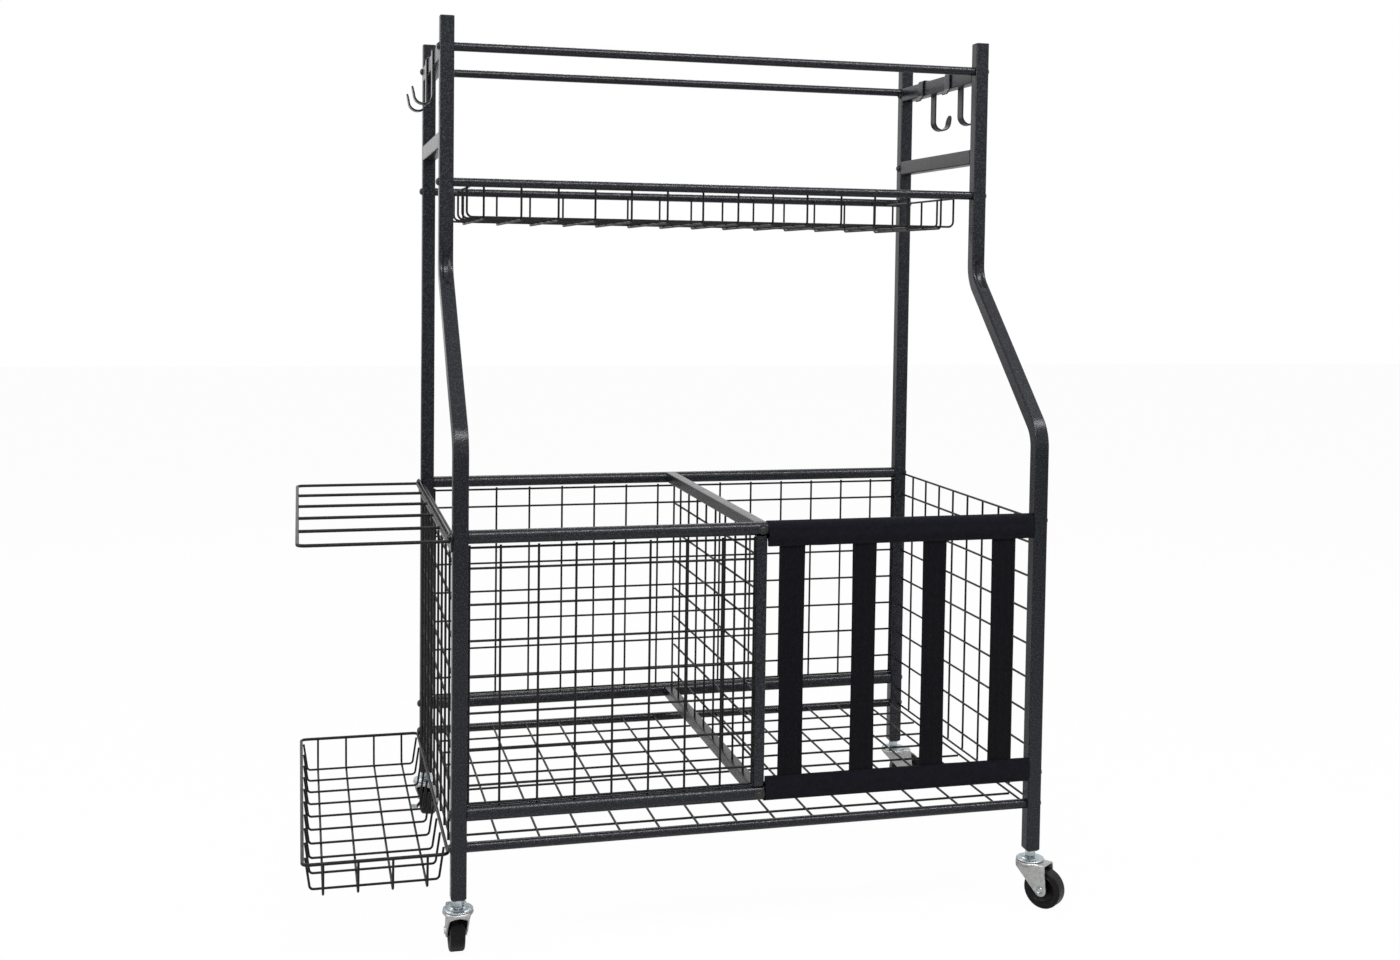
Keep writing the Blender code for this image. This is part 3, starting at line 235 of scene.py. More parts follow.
BRIGHT_ZINC = make_zinc("bright_zinc", (0.30, 0.345, 0.37), (0.52, 0.575, 0.60), 0.26, 0.38)
DULL_ZINC = make_zinc("dull_zinc", (0.32, 0.32, 0.32), (0.46, 0.46, 0.45), 0.34, 0.48)
WHEEL_RUBBER = make_rubber()
BLACK_STEEL = make_black_steel()
print("metal and rubber:", BRIGHT_ZINC.name, DULL_ZINC.name, WHEEL_RUBBER.name, BLACK_STEEL.name)


# %% [markdown]
# ## The cloth finishes
# The sleeves are a close black plain weave with a slight blue cast. The straps are elastic webbing: thick
# ribs run down their length and a finer weft crosses them. Two sets of stripes multiplied give a weave
# whose pitch is a real size. The thread is a touch paler, as stitching looks on black cloth.

# %% Sleeve cloth, elastic webbing and thread
def make_cloth(name, warp, weft, depth, dark, light):
    sockets = {"Sheen Weight": 0.025, "Sheen Roughness": 0.3, "Specular IOR Level": 0.12}
    finish = Finish(name, "strap_cloth", 0.86, sockets=sockets)
    weave = finish.times(finish.bands(warp, "X"), finish.bands(weft, "Z"))
    shade = finish.plus(finish.times(weave, 0.6), finish.cloud(120, 4.0))
    finish.paint(finish.spread(shade, 0.0, 1.0, 0.3, 1.1), dark, light)
    finish.rough(finish.spread(finish.cloud(250), 0.78, 0.94))
    finish.raised(finish.plus(weave, finish.times(finish.cloud(2500), 0.4)), depth)
    return finish.material


SLEEVE_SHADES = (0.0030, 0.0032, 0.0056), (0.0085, 0.0088, 0.0150)
WEBBING_SHADES = (0.0022, 0.0022, 0.0036), (0.0062, 0.0062, 0.0095)
THREAD_SHADES = (0.030, 0.030, 0.034), (0.060, 0.060, 0.068)
SLEEVE_CLOTH = make_cloth("sleeve_cloth", 420, 420, 0.0003, *SLEEVE_SHADES)
WEBBING = make_cloth("elastic_webbing", 150, 380, 0.0005, *WEBBING_SHADES)
THREAD = make_cloth("sewing_thread", 900, 900, 0.0001, *THREAD_SHADES)
print("cloth finishes:", SLEEVE_CLOTH.name, WEBBING.name, THREAD.name)


# %% [markdown]
# ## Outlines, bends and bars
# Most of the cart is bar of one section, straight or bent. An outline is a short list of points, a bend is
# an arc through a corner, and a bar is the outline carried along a path. That is how a tube bender works,
# and in bmesh it keeps the faces in clean rings.

# %% Outlines and paths
SHARP_ANGLE = math.radians(38)


def circle(diameter, sides=40):
    angles = [math.tau * k / sides for k in range(sides)]
    return [(diameter / 2 * math.cos(a), diameter / 2 * math.sin(a)) for a in angles]


def rounded(width, height, radius, steps=4):
    """Points round a rectangle whose corners are arcs."""
    points = []
    for k, (sx, sy) in enumerate(((1, 1), (-1, 1), (-1, -1), (1, -1))):
        for j in range(steps + 1):
            angle = math.pi / 2 * (k + j / steps)
            x = sx * (width / 2 - radius) + radius * math.cos(angle)
            points.append((x, sy * (height / 2 - radius) + radius * math.sin(angle)))
    return points


def bent(corners, radius, steps=6, closed=False):
    """A line through corners, each rounded off as a rod is bent."""
    corners = [Vector(corner) for corner in corners]
    path = []
    for k, corner in enumerate(corners):
        if not closed and k in (0, len(corners) - 1):
            path.append(corner)
            continue
        before = (corner - corners[k - 1]).normalized()
        after = (corners[(k + 1) % len(corners)] - corner).normalized()
        turn = before.angle(after)
        centre = corner + (after - before).normalized() * radius / math.cos(turn / 2)
        start = corner - before * radius * math.tan(turn / 2) - centre
        axis = before.cross(after)
        path += [centre + Matrix.Rotation(turn * j / steps, 3, axis) @ start for j in range(steps + 1)]
    return path


def stations(path, across):
    """Where a section stands along a path: its point, its own first axis and its second, which is across."""
    found = []
    for k, point in enumerate(path):
        before = (point - path[k - 1]).normalized() if k else None
        after = (path[k + 1] - point).normalized() if k + 1 < len(path) else None
        before = before or after
        after = after or before
        side = across.cross(before + after).normalized()
        found.append((point, side / side.dot(across.cross(after).normalized()), across))
    return found


print("a circle has", len(circle(1.0)), "points, a rounded square", len(rounded(1.0, 1.0, 0.1)))

# %% [markdown]
# ## From outlines to solids
# A bar is rings of its outline joined by faces, and a turned body is rings of one circle in many sizes.
# Both close into solids. A curve with a bevel or a Screw modifier could do much of this, but rings made in
# bmesh can be shaped one by one, which the posts, the hooks and the straps need.

# %% Bars and turned bodies
def bridge(bm, one, other):
    for k in range(len(one)):
        j = (k + 1) % len(one)
        bm.faces.new((one[k], one[j], other[j], other[k]))


def skin(bm, path, across, loop, shaped=None):
    """Rings of a section along a path, joined by faces. shaped may move a section's points by place."""
    rings = []
    for point, first, second in stations(path, across):
        places = [shaped(point, x, y) for x, y in loop] if shaped else loop
        rings.append([bm.verts.new(point + first * x + second * y) for x, y in places])
    for one, other in zip(rings, rings[1:]):
        bridge(bm, one, other)
    return rings


def bar(path, across, outer, inner=None, shaped=None):
    """A solid bar with closed ends, or a tube with open ones."""
    bm = bmesh.new()
    rings = skin(bm, path, across, outer, shaped)
    bore = skin(bm, path, across, inner, shaped) if inner else None
    for end in (0, -1):
        if bore:
            bridge(bm, rings[end], bore[end])
        else:
            bm.faces.new(rings[end])
    return bm


def turned(profile, sides=48, along=Z_AXIS, centre=(0, 0, 0)):
    """A body turned about an axis, from (radius, height) points. Radius 0 closes it at a point."""
    bm = bmesh.new()
    rings = []
    for radius, height in profile:
        around = circle(2 * radius, sides) if radius else [(0, 0)]
        rings.append([bm.verts.new((x, y, height)) for x, y in around])
    pairs = list(zip(rings, rings[1:]))
    if profile[0][0] and profile[-1][0]:
        pairs.append((rings[-1], rings[0]))
    for one, other in pairs:
        if len(one) == len(other):
            bridge(bm, one, other)
            continue
        tip, rim = (one, other) if len(one) == 1 else (other, one)
        for k in range(sides):
            bm.faces.new((tip[0], rim[k], rim[(k + 1) % sides]))
    turn = Z_AXIS.rotation_difference(along).to_matrix().to_4x4()
    bm.transform(Matrix.Translation(centre) @ turn)
    return bm


# %% [markdown]
# ## From solids to pieces
# A piece is an object with a name, a finish and a body to move with, and it stands for one or more of the
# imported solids. One function does it all, so that no piece goes without.

# %% Objects, finishes and bodies
def solid(name, bm):
    """A new object from a finished bmesh, smooth but for its sharp edges."""
    bmesh.ops.recalc_face_normals(bm, faces=bm.faces[:])
    mesh = bpy.data.meshes.new(name)
    bm.to_mesh(mesh)
    bm.free()
    mesh.shade_smooth()
    mesh.set_sharp_from_angle(angle=SHARP_ANGLE)
    obj = bpy.data.objects.new(name, mesh)
    bpy.context.collection.objects.link(obj)
    return obj


def dress(obj, material, body, *nodes):
    """Gives a piece its finish and its body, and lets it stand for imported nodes."""
    obj.data.materials.clear()
    obj.data.materials.append(material)
    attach(obj, body)
    if nodes:
        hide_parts(*nodes)
    return obj


def piece(name, bm, material, body, *nodes):
    return dress(solid(name, bm), material, body, *nodes)


def joined(bms):
    """Several bmeshes as one, each still a closed body of its own."""
    whole = bmesh.new()
    for bm in bms:
        mesh = bpy.data.meshes.new("part")
        bm.to_mesh(mesh)
        bm.free()
        whole.from_mesh(mesh)
        bpy.data.meshes.remove(mesh)
    return whole


# %% [markdown]
# ## Posts
# Each post is square tube with softly rounded corners. The rear pair is straight. The front pair is cranked
# back over the basket, and the bender has crushed a long groove into the hollow side of each bend. The
# groove is modelled, not painted: near a bend the path gets close-set rings, and the points of the face on
# the inside of the bend are pushed in.

# %% Straight and cranked posts
TUBE_CORNER = 0.0030
TUBE_WALL = 0.0015
BEND_RADIUS = 0.060
BEND_STEPS = 14
LOW_BEND_RISE = 0.1513
HIGH_BEND_DROP = 0.156
LOW_BEND = middle("upper_rail_front").z + LOW_BEND_RISE
HIGH_BEND = middle("tray_rail_front").z - HIGH_BEND_DROP
LIP_HEIGHT = 0.0038
GROOVE_LENGTH = 0.083
GROOVE_WIDTH = 0.015
GROOVE_DEPTH = 0.0042
GROOVE_FULLNESS = 1.4
FACE_PIECES = 14
RING_STEP = 0.003
WALL_PLAY = 0.0005


def divided(loop, pieces):
    """An outline with its long sides cut into equal pieces."""
    points = []
    for (x, y), (u, v) in zip(loop, loop[1:] + loop[:1]):
        count = pieces if math.dist((x, y), (u, v)) > TUBE / 2 else 1
        points += [(x + (u - x) * k / count, y + (v - y) * k / count) for k in range(count)]
    return points


def finer(path, bends, step):
    """A path with close-set points within a groove's length of its bends."""
    points = [path[0]]
    for one, other in zip(path, path[1:]):
        count = max(1, round((other - one).length / step))
        for k in range(1, count + 1):
            point = one.lerp(other, k / count)
            if k == count or min((point - bend).length for bend in bends) < GROOVE_LENGTH:
                points.append(point)
    return points


def make_post(side, end):
    x, foot = SIDES[side], POST_FOOT + LIP_HEIGHT
    bore_size = TUBE - 2 * TUBE_WALL
    section = divided(rounded(TUBE, TUBE, TUBE_CORNER), FACE_PIECES)
    bore = divided(rounded(bore_size, bore_size, TUBE_CORNER / 2), FACE_PIECES)
    if end == "rear":
        path = [Vector((x, REAR, foot)), Vector((x, REAR, POST_TOP))]
        tube = bar(path, X_AXIS, section, bore)
        return piece("rear_post_" + side, tube, HAMMERED_COAT, "frame", f"post_{side}_rear")
    low, high = Vector((x, LOW_FRONT, LOW_BEND)), Vector((x, HIGH_FRONT, HIGH_BEND))
    corners = [Vector((x, LOW_FRONT, foot)), low, high, Vector((x, HIGH_FRONT, POST_TOP))]
    path = finer(bent(corners, BEND_RADIUS, BEND_STEPS), (low, high), RING_STEP)

    def crushed(point, across, along):
        """Pushes the groove's points into the tube: on its front at the high bend, its rear at the low."""
        for bend, face in ((high, 1), (low, -1)):
            reach = (point - bend).length / (GROOVE_LENGTH / 2)
            on_face = across * face > TUBE / 2 - TUBE_WALL - WALL_PLAY
            if reach < 1 and on_face and abs(along) < GROOVE_WIDTH / 2:
                shape = math.sqrt(1 - reach**2) * math.cos(math.pi * along / GROOVE_WIDTH)
                across -= face * GROOVE_DEPTH * min(1.0, GROOVE_FULLNESS * shape)
        return across, along

    tube = bar(path, X_AXIS, section, bore, crushed)
    return piece("front_post_" + side, tube, HAMMERED_COAT, "frame", f"post_{side}_front")


for side in SIDES:
    for end in ("front", "rear"):
        post = make_post(side, end)
        print(post.name, "vertices:", len(post.data.vertices))

# %% [markdown]
# ## Caps
# A moulded cap closes each post. Only its lip shows: as wide as the tube, two millimetres thick, with an
# edge that the mould has rounded. It is a stack of outlines that shrink over the top. The plastic plug in
# each foot, which grips the caster's stem, shows a lip too, bevelled in towards the stem.

# %% Tube caps and foot lips
PLUG_PLAY = 0.0006
CAP_SEAT = 0.0003
CAP_ROUNDING = 0.6
FOOT_LIP_NARROW = 0.0175
FOOT_LIP_CORNER = 0.001
FOOT_LIP_BEVEL = 0.9
HAIR = 0.0001
def stacked(levels, centre):
    """A closed body from outlines at rising heights."""
    bm = bmesh.new()
    rings = [[bm.verts.new(centre + Vector((x, y, z))) for x, y in loop] for z, loop in levels]
    for one, other in zip(rings, rings[1:]):
        bridge(bm, one, other)
    bm.faces.new(rings[0])
    bm.faces.new(rings[-1])
    return bm


def make_cap(node):
    low, high = map(Vector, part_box(node))
    lip = high.z - POST_TOP
    inside = TUBE - 2 * TUBE_WALL - PLUG_PLAY
    plug = rounded(inside, inside, TUBE_CORNER / 2)
    levels = [(low.z - POST_TOP, plug), (CAP_SEAT, plug), (CAP_SEAT, rounded(TUBE, TUBE, TUBE_CORNER))]
    for k in range(5):
        angle = math.pi / 2 * k / 4
        size = TUBE - 2 * lip * CAP_ROUNDING * (1 - math.cos(angle))
        z = lip * (1 - CAP_ROUNDING + CAP_ROUNDING * math.sin(angle))
        levels.append((z, rounded(size, size, TUBE_CORNER)))
    centre = Vector((middle(node).x, middle(node).y, POST_TOP))
    return piece(node.replace("cap", "tube_cap"), stacked(levels, centre), CAP_PLASTIC, "frame", node)


def make_foot_lip(corner):
    """The bevelled lip of the plastic plug that holds a caster, under the end of the tube."""
    centre = middle(f"caster_{corner}_stem")
    centre.z = POST_FOOT
    low = rounded(FOOT_LIP_NARROW, FOOT_LIP_NARROW, FOOT_LIP_CORNER)
    high = rounded(TUBE, TUBE, TUBE_CORNER)
    levels = [(0, low), (LIP_HEIGHT * FOOT_LIP_BEVEL, high), (LIP_HEIGHT - HAIR, high)]
    return piece("foot_lip_" + corner, stacked(levels, centre), CAP_PLASTIC, "frame")


CORNERS = ("left_front", "right_front", "left_rear", "right_rear")
caps = [make_cap(node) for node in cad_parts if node.startswith("cap_")]
lips = [make_foot_lip(corner) for corner in CORNERS]
print("caps:", len(caps), "foot lips:", len(lips))

# %% [markdown]
# ## Rails and side bars
# Round tube runs from post to post: two top bars, two tray rails, and three pairs of rails for the basket
# and the shelf. Forty sides keep their outline round. Bars of nearly square tube join each front post to
# the rear post behind it. A plain cylinder would do from afar, but a tube with a bore shows its wall at a
# cut end, and the same function draws both kinds.

# %% Round rails and square side bars
RAIL_WALL = 0.0012
SIDE_BAR_CORNER = 0.0025
SIDE_BORE_CORNER = 0.0015


def make_rail(node):
    low, high = map(Vector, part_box(node))
    centre, diameter = middle(node), extent(node).z
    path = [Vector((low.x, centre.y, centre.z)), Vector((high.x, centre.y, centre.z))]
    tube = bar(path, Z_AXIS, circle(diameter), circle(diameter - 2 * RAIL_WALL))
    return piece("round_" + node, tube, HAMMERED_COAT, "frame", node)


def straight(node, corner, bore_corner=None, upright=False, lap=0.0):
    """A straight bar in a packed box, along Y or upright. With a bore corner it is a tube."""
    low, high = map(Vector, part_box(node))
    centre, size = middle(node), extent(node)
    if upright:
        path = [Vector((centre.x, centre.y, z)) for z in (low.z, high.z)]
        width, height, across = size.x, size.y, X_AXIS
    else:
        path = [Vector((centre.x, y, centre.z)) for y in (low.y - lap, high.y + lap)]
        width, height, across = size.x, size.z, Z_AXIS
    inner = None
    if bore_corner:
        inner = rounded(width - 2 * RAIL_WALL, height - 2 * RAIL_WALL, bore_corner)
    return bar(path, across, rounded(width, height, corner), inner)


def make_side_bar(node):
    tube = straight(node, SIDE_BAR_CORNER, SIDE_BORE_CORNER)
    return piece("square_" + node, tube, HAMMERED_COAT, "frame", node)


RAIL_KINDS = ("top_bar", "tray_rail", "upper_rail", "lower_rail", "shelf_rail")
rails = [make_rail(f"{kind}_{end}") for kind in RAIL_KINDS for end in ("front", "rear")]
side_bars = [make_side_bar(f"{kind}_side_bar_{side}") for kind in ("top", "mid") for side in SIDES]
print("rails:", len(rails), "side bars:", len(side_bars))


# %% [markdown]
# ## Divider frame
# A square bar lies across the basket from rail to rail, and its ends are coped: cut hollow so that they
# sit on the round rails. A Boolean with a slightly larger cylinder makes the same cut as a hole saw. The
# lower bar is cut in the same way, and a square post stands between the front rails.

# %% Coped divider bars and post
SAW_PLAY = 0.0005
SAW_LENGTH = 0.060
DIVIDER_CORNER = 0.002
DIVIDER_BORE_CORNER = 0.001
UPPER_LAP = 0.010
LOWER_LAP = 0.009


def combined(obj, others, operation):
    """Applies an object's modifiers and a Boolean with each helper, which is then removed."""
    for other in others:
        modifier = obj.modifiers.new(operation.title(), "BOOLEAN")
        modifier.operation = operation
        modifier.object = other
    graph = bpy.context.evaluated_depsgraph_get()
    mesh = bpy.data.meshes.new_from_object(obj.evaluated_get(graph))
    obj.modifiers.clear()
    obj.data = mesh
    for other in others:
        bpy.data.objects.remove(other)
    mesh.shade_smooth()
    mesh.set_sharp_from_angle(angle=SHARP_ANGLE)
    return obj


def make_coped_bar(node, rail, lap):
    """A bar that laps over the rails at both ends and is cut hollow where they run."""
    coped = solid("coped_" + node, straight(node, DIVIDER_CORNER, DIVIDER_BORE_CORNER, lap=lap))
    x, saws = middle(node).x, []
    for end in ("front", "rear"):
        centre, diameter = middle(f"{rail}_{end}"), extent(f"{rail}_{end}").z + SAW_PLAY
        run = [Vector((x + way * SAW_LENGTH / 2, centre.y, centre.z)) for way in (-1, 1)]
        saws.append(solid("saw", bar(run, Z_AXIS, circle(diameter, 48))))
    return dress(combined(coped, saws, "DIFFERENCE"), HAMMERED_COAT, "frame", node)


make_coped_bar("divider_top_bar", "upper_rail", UPPER_LAP)
make_coped_bar("divider_bottom_bar", "lower_rail", LOWER_LAP)
tube = straight("divider_post", DIVIDER_CORNER, DIVIDER_BORE_CORNER, upright=True)
piece("square_divider_post", tube, HAMMERED_COAT, "frame", "divider_post")
bar_width, post_width = extent("divider_top_bar").x, extent("divider_post").x
print(f"divider bar {bar_width * 1000:.0f} mm, post {post_width * 1000:.0f} mm")

# %% [markdown]
# ## Welded wire
# The grids are round wire in two layers, welded where they cross. A curve with a round bevel is the right
# tool: it keeps the wire's true diameter, bends cleanly and stays light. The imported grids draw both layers
# in one plane, so here each layer moves half a wire to its own side. A packed wire is a square that stands
# on its corner and has the area of the round one, so its box reaches half a diagonal past its middle line.

# %% Wires as bevelled curves
WIRE = 0.0040
ROD = 0.0056
WELD = 0.0002
LAYER = WIRE - WELD
PACKED_WIRE = 0.003
PACKED_ROD = 0.005
PACKED_REACH = math.sqrt(math.pi / 2) / 2
LEAST_BAY = 1 / 3
reach, rod_reach = PACKED_WIRE * PACKED_REACH, PACKED_ROD * PACKED_REACH


def marks(start, stop, pitch):
    """Places from start, one pitch apart, that leave a fair bay before stop."""
    count = int((abs(stop - start) - pitch * LEAST_BAY) // pitch) + 1
    way = math.copysign(pitch, stop - start)
    return [start + way * k for k in range(count)]


def wires(name, runs, diameter, body, *nodes, closed=False, material=WIRE_COAT):
    """One object of round wires. Each run is the points of one wire."""
    curve = bpy.data.curves.new(name, "CURVE")
    curve.dimensions = "3D"
    curve.bevel_depth = diameter / 2
    curve.bevel_resolution = 3
    curve.use_fill_caps = not closed
    for run in runs:
        spline = curve.splines.new("POLY")
        spline.points.add(len(run) - 1)
        for point, place in zip(spline.points, run):
            point.co = (*place, 1)
        spline.use_cyclic_u = closed
        spline.use_smooth = True
    obj = bpy.data.objects.new(name, curve)
    bpy.context.collection.objects.link(obj)
    return dress(obj, material, body, *nodes)


def woven(columns, rows, place, normal, open_columns=False, over=0.0):
    """The wires of a flat grid. Columns lie half a wire before the rows and reach over past the first."""
    step = normal * LAYER / 2
    uprights = columns[1:-1] if open_columns else columns
    runs = [[place(x, rows[0] + over) + step, place(x, rows[-1]) + step] for x in uprights]
    return runs + [[place(columns[0], y) - step, place(columns[-1], y) - step] for y in rows]


print(f"wire {WIRE * 1000:.1f} mm, rod {ROD * 1000:.1f} mm, packed wire reaches {reach * 1000:.2f} mm")

# %% [markdown]
# ## Side, rear, front and shelf grids
# Each grid starts a measured way from one edge and goes on at its own pitch, which leaves the last bay
# narrower, as on the real cart. The side grids have no wire along their upright edges, because their rows
# run straight into the posts. In front and at the rear the uprights go on a little above the top row.

# %% Flat grids of the basket and the shelf
SIDE_GRID = {"first_row": 0.0446, "row_pitch": 0.0604, "first_column": 0.0423, "column_pitch": 0.0694}
REAR_GRID = {"first_row": 0.0393, "row_pitch": 0.0572, "first_column": 0.0567, "column_pitch": 0.0665}
FRONT_GRID = {"first_row": 0.0377, "row_pitch": 0.0583, "first_column": 0.0497, "column_pitch": 0.0611}
TOP_ROW_DROP = 0.0045
SHELF_COLUMN_PITCH = 0.0667
SHELF_FIRST_ROW = 0.0626
SHELF_ROW_PITCH = 0.0746


def lines(start, stop, first, pitch):
    """The edges of a grid and the wires between them."""
    way = math.copysign(first, stop - start)
    return [start] + marks(start + way, stop, pitch) + [stop]


for side, outward in (("left", -1), ("right", 1)):
    low, high = map(Vector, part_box(f"side_grid_{side}"))
    columns = lines(high.y, low.y, SIDE_GRID["first_column"], SIDE_GRID["column_pitch"])
    rows = lines(high.z - reach, low.z + reach, SIDE_GRID["first_row"], SIDE_GRID["row_pitch"])
    x = middle(f"side_grid_{side}").x
    runs = woven(columns, rows, lambda y, z: Vector((x, y, z)), X_AXIS * outward, open_columns=True)
    wires(f"side_wires_{side}", runs, WIRE, "frame", f"side_grid_{side}")
for node, grid in (("rear_grid", REAR_GRID), ("front_grid", FRONT_GRID)):
    low, high = map(Vector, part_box(node))
    columns = lines(low.x + reach, high.x - reach, grid["first_column"], grid["column_pitch"])
    rows = lines(high.z - reach, low.z + reach, grid["first_row"], grid["row_pitch"])
    rows[0] -= TOP_ROW_DROP
    y = middle(node).y
    runs = woven(columns, rows, lambda x, z: Vector((x, y, z)), -Y_AXIS, over=TOP_ROW_DROP)
    wires(node.replace("grid", "wires"), runs, WIRE, "frame", node)
low, high = map(Vector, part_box("shelf_grid"))
centre = middle("shelf_grid")
half = marks(SHELF_COLUMN_PITCH / 2, high.x - reach - centre.x, SHELF_COLUMN_PITCH)
columns = [low.x + reach] + [centre.x - x for x in reversed(half)]
columns += [centre.x + x for x in half] + [high.x - reach]
rows = lines(high.y - reach, low.y + reach, SHELF_FIRST_ROW, SHELF_ROW_PITCH)
runs = woven(columns, rows, lambda x, y: Vector((x, y, centre.z)), Z_AXIS)
wires("shelf_wires", runs, WIRE, "frame", "shelf_grid")
print("shelf:", len(columns), "wires across", len(rows), "rows")

# %% [markdown]
# ## Divider grid
# The divider's wires hang from its top bar and end on its lower bar. Their rows run into the divider post
# at the front, and the last upright stands free at the rear. The first and the last row would lie in the
# two bars, so they are left out, and the wires are written down here without the helper for grids.

# %% Divider wires
DIVIDER_GRID = {"first_row": 0.040, "row_pitch": 0.058, "first_column": 0.057, "column_pitch": 0.0675}

low, high = map(Vector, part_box("divider_grid"))
x = middle("divider_grid").x
columns = lines(high.y - reach, low.y, DIVIDER_GRID["first_column"], DIVIDER_GRID["column_pitch"])
rows = lines(high.z, low.z, DIVIDER_GRID["first_row"], DIVIDER_GRID["row_pitch"])
step = X_AXIS * LAYER / 2
runs = [[Vector((x, y, rows[0])) - step, Vector((x, y, rows[-1])) - step] for y in columns[:-1]]
runs += [[Vector((x, columns[0], z)) + step, Vector((x, columns[-1], z)) + step] for z in rows[1:-1]]
wires("divider_wires", runs, WIRE, "frame", "divider_grid")
print("divider:", len(columns) - 1, "uprights", len(rows) - 2, "rows")

# %% [markdown]
# ## Tray
# The tray hangs between two round rails. Loops go down from one rail, across and up to the other, and runs
# cross over them and rise to a wire at each end. Each is one bent wire, with a bend of about a centimetre.
# The runs start near the rear rail, and one more stands close to the front rail, where the bay is narrow.
# As curves they need a few points each, where meshes would need thousands.

# %% Tray wires
TRAY_BEND = 0.010
TRAY_LOOP_FIRST = 0.0285
TRAY_LOOP_PITCH = 0.0664
TRAY_RUN_FIRST = 0.031
TRAY_RUN_PITCH = 0.0785
TRAY_RIM_DROP = 0.006

low, high = map(Vector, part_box("tray_basket"))
floor_z, rail_z = low.z + reach, middle("tray_rail_front").z
left, right = low.x + reach, high.x - reach
front, rear = low.y + reach, high.y - reach
rim_z = rail_z - TRAY_RIM_DROP
loops = marks(left + TRAY_LOOP_FIRST, right, TRAY_LOOP_PITCH)
across = marks(rear - TRAY_RUN_FIRST, front, TRAY_RUN_PITCH)
across.append(across[-1] - TRAY_RUN_PITCH)
runs = []
for x in loops:
    corners = [(x, rear, rail_z), (x, rear, floor_z), (x, front, floor_z), (x, front, rail_z)]
    runs.append(bent(corners, TRAY_BEND))
for y in across:
    z = floor_z + LAYER
    corners = [(left, y, rim_z), (left, y, z), (right, y, z), (right, y, rim_z)]
    runs.append(bent(corners, TRAY_BEND))
for x in (left + LAYER, right - LAYER):
    runs.append([Vector((x, rear + reach, rim_z)), Vector((x, front - reach, rim_z))])
wires("tray_wires", runs, WIRE, "frame", "tray_basket")
print("tray loops:", len(loops), "runs:", len(across))

# %% [markdown]
# ## Side rack
# Outside the left posts a flat ladder of heavier rod is welded to a strip, and the strip is bolted to the
# posts. Its outer side and both its ends are bent from one rod, and four more rungs lie between the ends.
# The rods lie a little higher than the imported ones, where the photograph shows them. A rod is a thicker
# wire, so the same function draws it.

# %% Rack rods and strip
RACK_RUNGS = 6
RACK_CORNER = 0.012
RACK_RISE = 0.0045
STRIP_CORNER = 0.0008


def rod_lines(node):
    """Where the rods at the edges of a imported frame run: at the cart, outside, and at its two ends."""
    low, high = map(Vector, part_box(node))
    return high.x - rod_reach, low.x + rod_reach, (low.y + rod_reach, high.y - rod_reach)


def rod_corners(inner_x, outer_x, ends, z):
    return [(inner_x, ends[1], z), (outer_x, ends[1], z), (outer_x, ends[0], z), (inner_x, ends[0], z)]


inner_x, outer_x, ends = rod_lines("side_rack")
z = middle("side_rack").z + RACK_RISE
runs = [bent(rod_corners(inner_x, outer_x, ends, z), RACK_CORNER)]
runs.append([Vector((inner_x, ends[0] - ROD / 2, z)), Vector((inner_x, ends[1] + ROD / 2, z))])
pitch = (ends[1] - ends[0]) / (RACK_RUNGS - 1)
for k in range(1, RACK_RUNGS - 1):
    y = ends[0] + pitch * k
    runs.append([Vector((inner_x, y, z)), Vector((outer_x, y, z))])
wires("rack_rods", runs, ROD, "frame", "side_rack")
piece("bolted_strip", straight("rack_strip", STRIP_CORNER), HAMMERED_COAT, "frame", "rack_strip")
print(f"rack {inner_x - outer_x:.3f} m deep, strip {extent('rack_strip').z * 1000:.0f} mm high")

# %% [markdown]
# ## Side basket
# The low basket outside the left posts has a rim of rod bent to a round-cornered frame. Wires hang inside
# it, lean in by about seven millimetres on their way down, and turn under the floor in tight bends. Curves
# through bent corners are the short way to draw them, and the lean shows beside the upright posts.

# %% Basket rim and wires
BASKET_TAPER = 0.012
BASKET_RIM_CORNER = 0.010
BASKET_BEND = 0.0065
BASKET_LOOPS = 10
BASKET_RUNS = 4
BASKET_INSET = 0.032

low, high = map(Vector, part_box("side_basket"))
inner_x, outer_x, ends = rod_lines("side_basket")
rim_z, floor_z = high.z - rod_reach, low.z + reach
rim = bent(rod_corners(inner_x, outer_x, ends, rim_z), BASKET_RIM_CORNER, 10, closed=True)
wires("basket_rim", [rim], ROD, "frame", closed=True)
loop_pitch = (ends[1] - ends[0] - 2 * BASKET_INSET) / (BASKET_LOOPS - 1)
run_pitch = (inner_x - outer_x - 2 * BASKET_INSET) / (BASKET_RUNS - 1)
hang = ROD / 2 + WIRE / 2 - WELD
runs = []
for k in range(BASKET_LOOPS):
    y = ends[1] - BASKET_INSET - loop_pitch * k
    z = floor_z + LAYER
    corners = [(inner_x - hang, y, rim_z), (inner_x - BASKET_TAPER, y, z)]
    corners += [(outer_x + BASKET_TAPER, y, z), (outer_x + hang, y, rim_z)]
    runs.append(bent(corners, BASKET_BEND))
for k in range(BASKET_RUNS):
    x = inner_x - BASKET_INSET - run_pitch * k
    corners = [(x, ends[1] - hang, rim_z), (x, ends[1] - BASKET_TAPER, floor_z)]
    corners += [(x, ends[0] + BASKET_TAPER, floor_z), (x, ends[0] + hang, rim_z)]
    runs.append(bent(corners, BASKET_BEND))
wires("basket_wires", runs, WIRE, "frame", "side_basket")
print("basket loops:", BASKET_LOOPS, "runs:", BASKET_RUNS)

# %% [markdown]
# ## Hooks
# Each hook is a strip of steel folded over a top side bar, with an open J outside it. Its tip is rounded
# off, and its inner leg ends in a lip that leans away, so that it slides on easily. The strip is a bar
# whose section narrows towards the tip. Each hook rides on a body of its own, which slides along the bar.

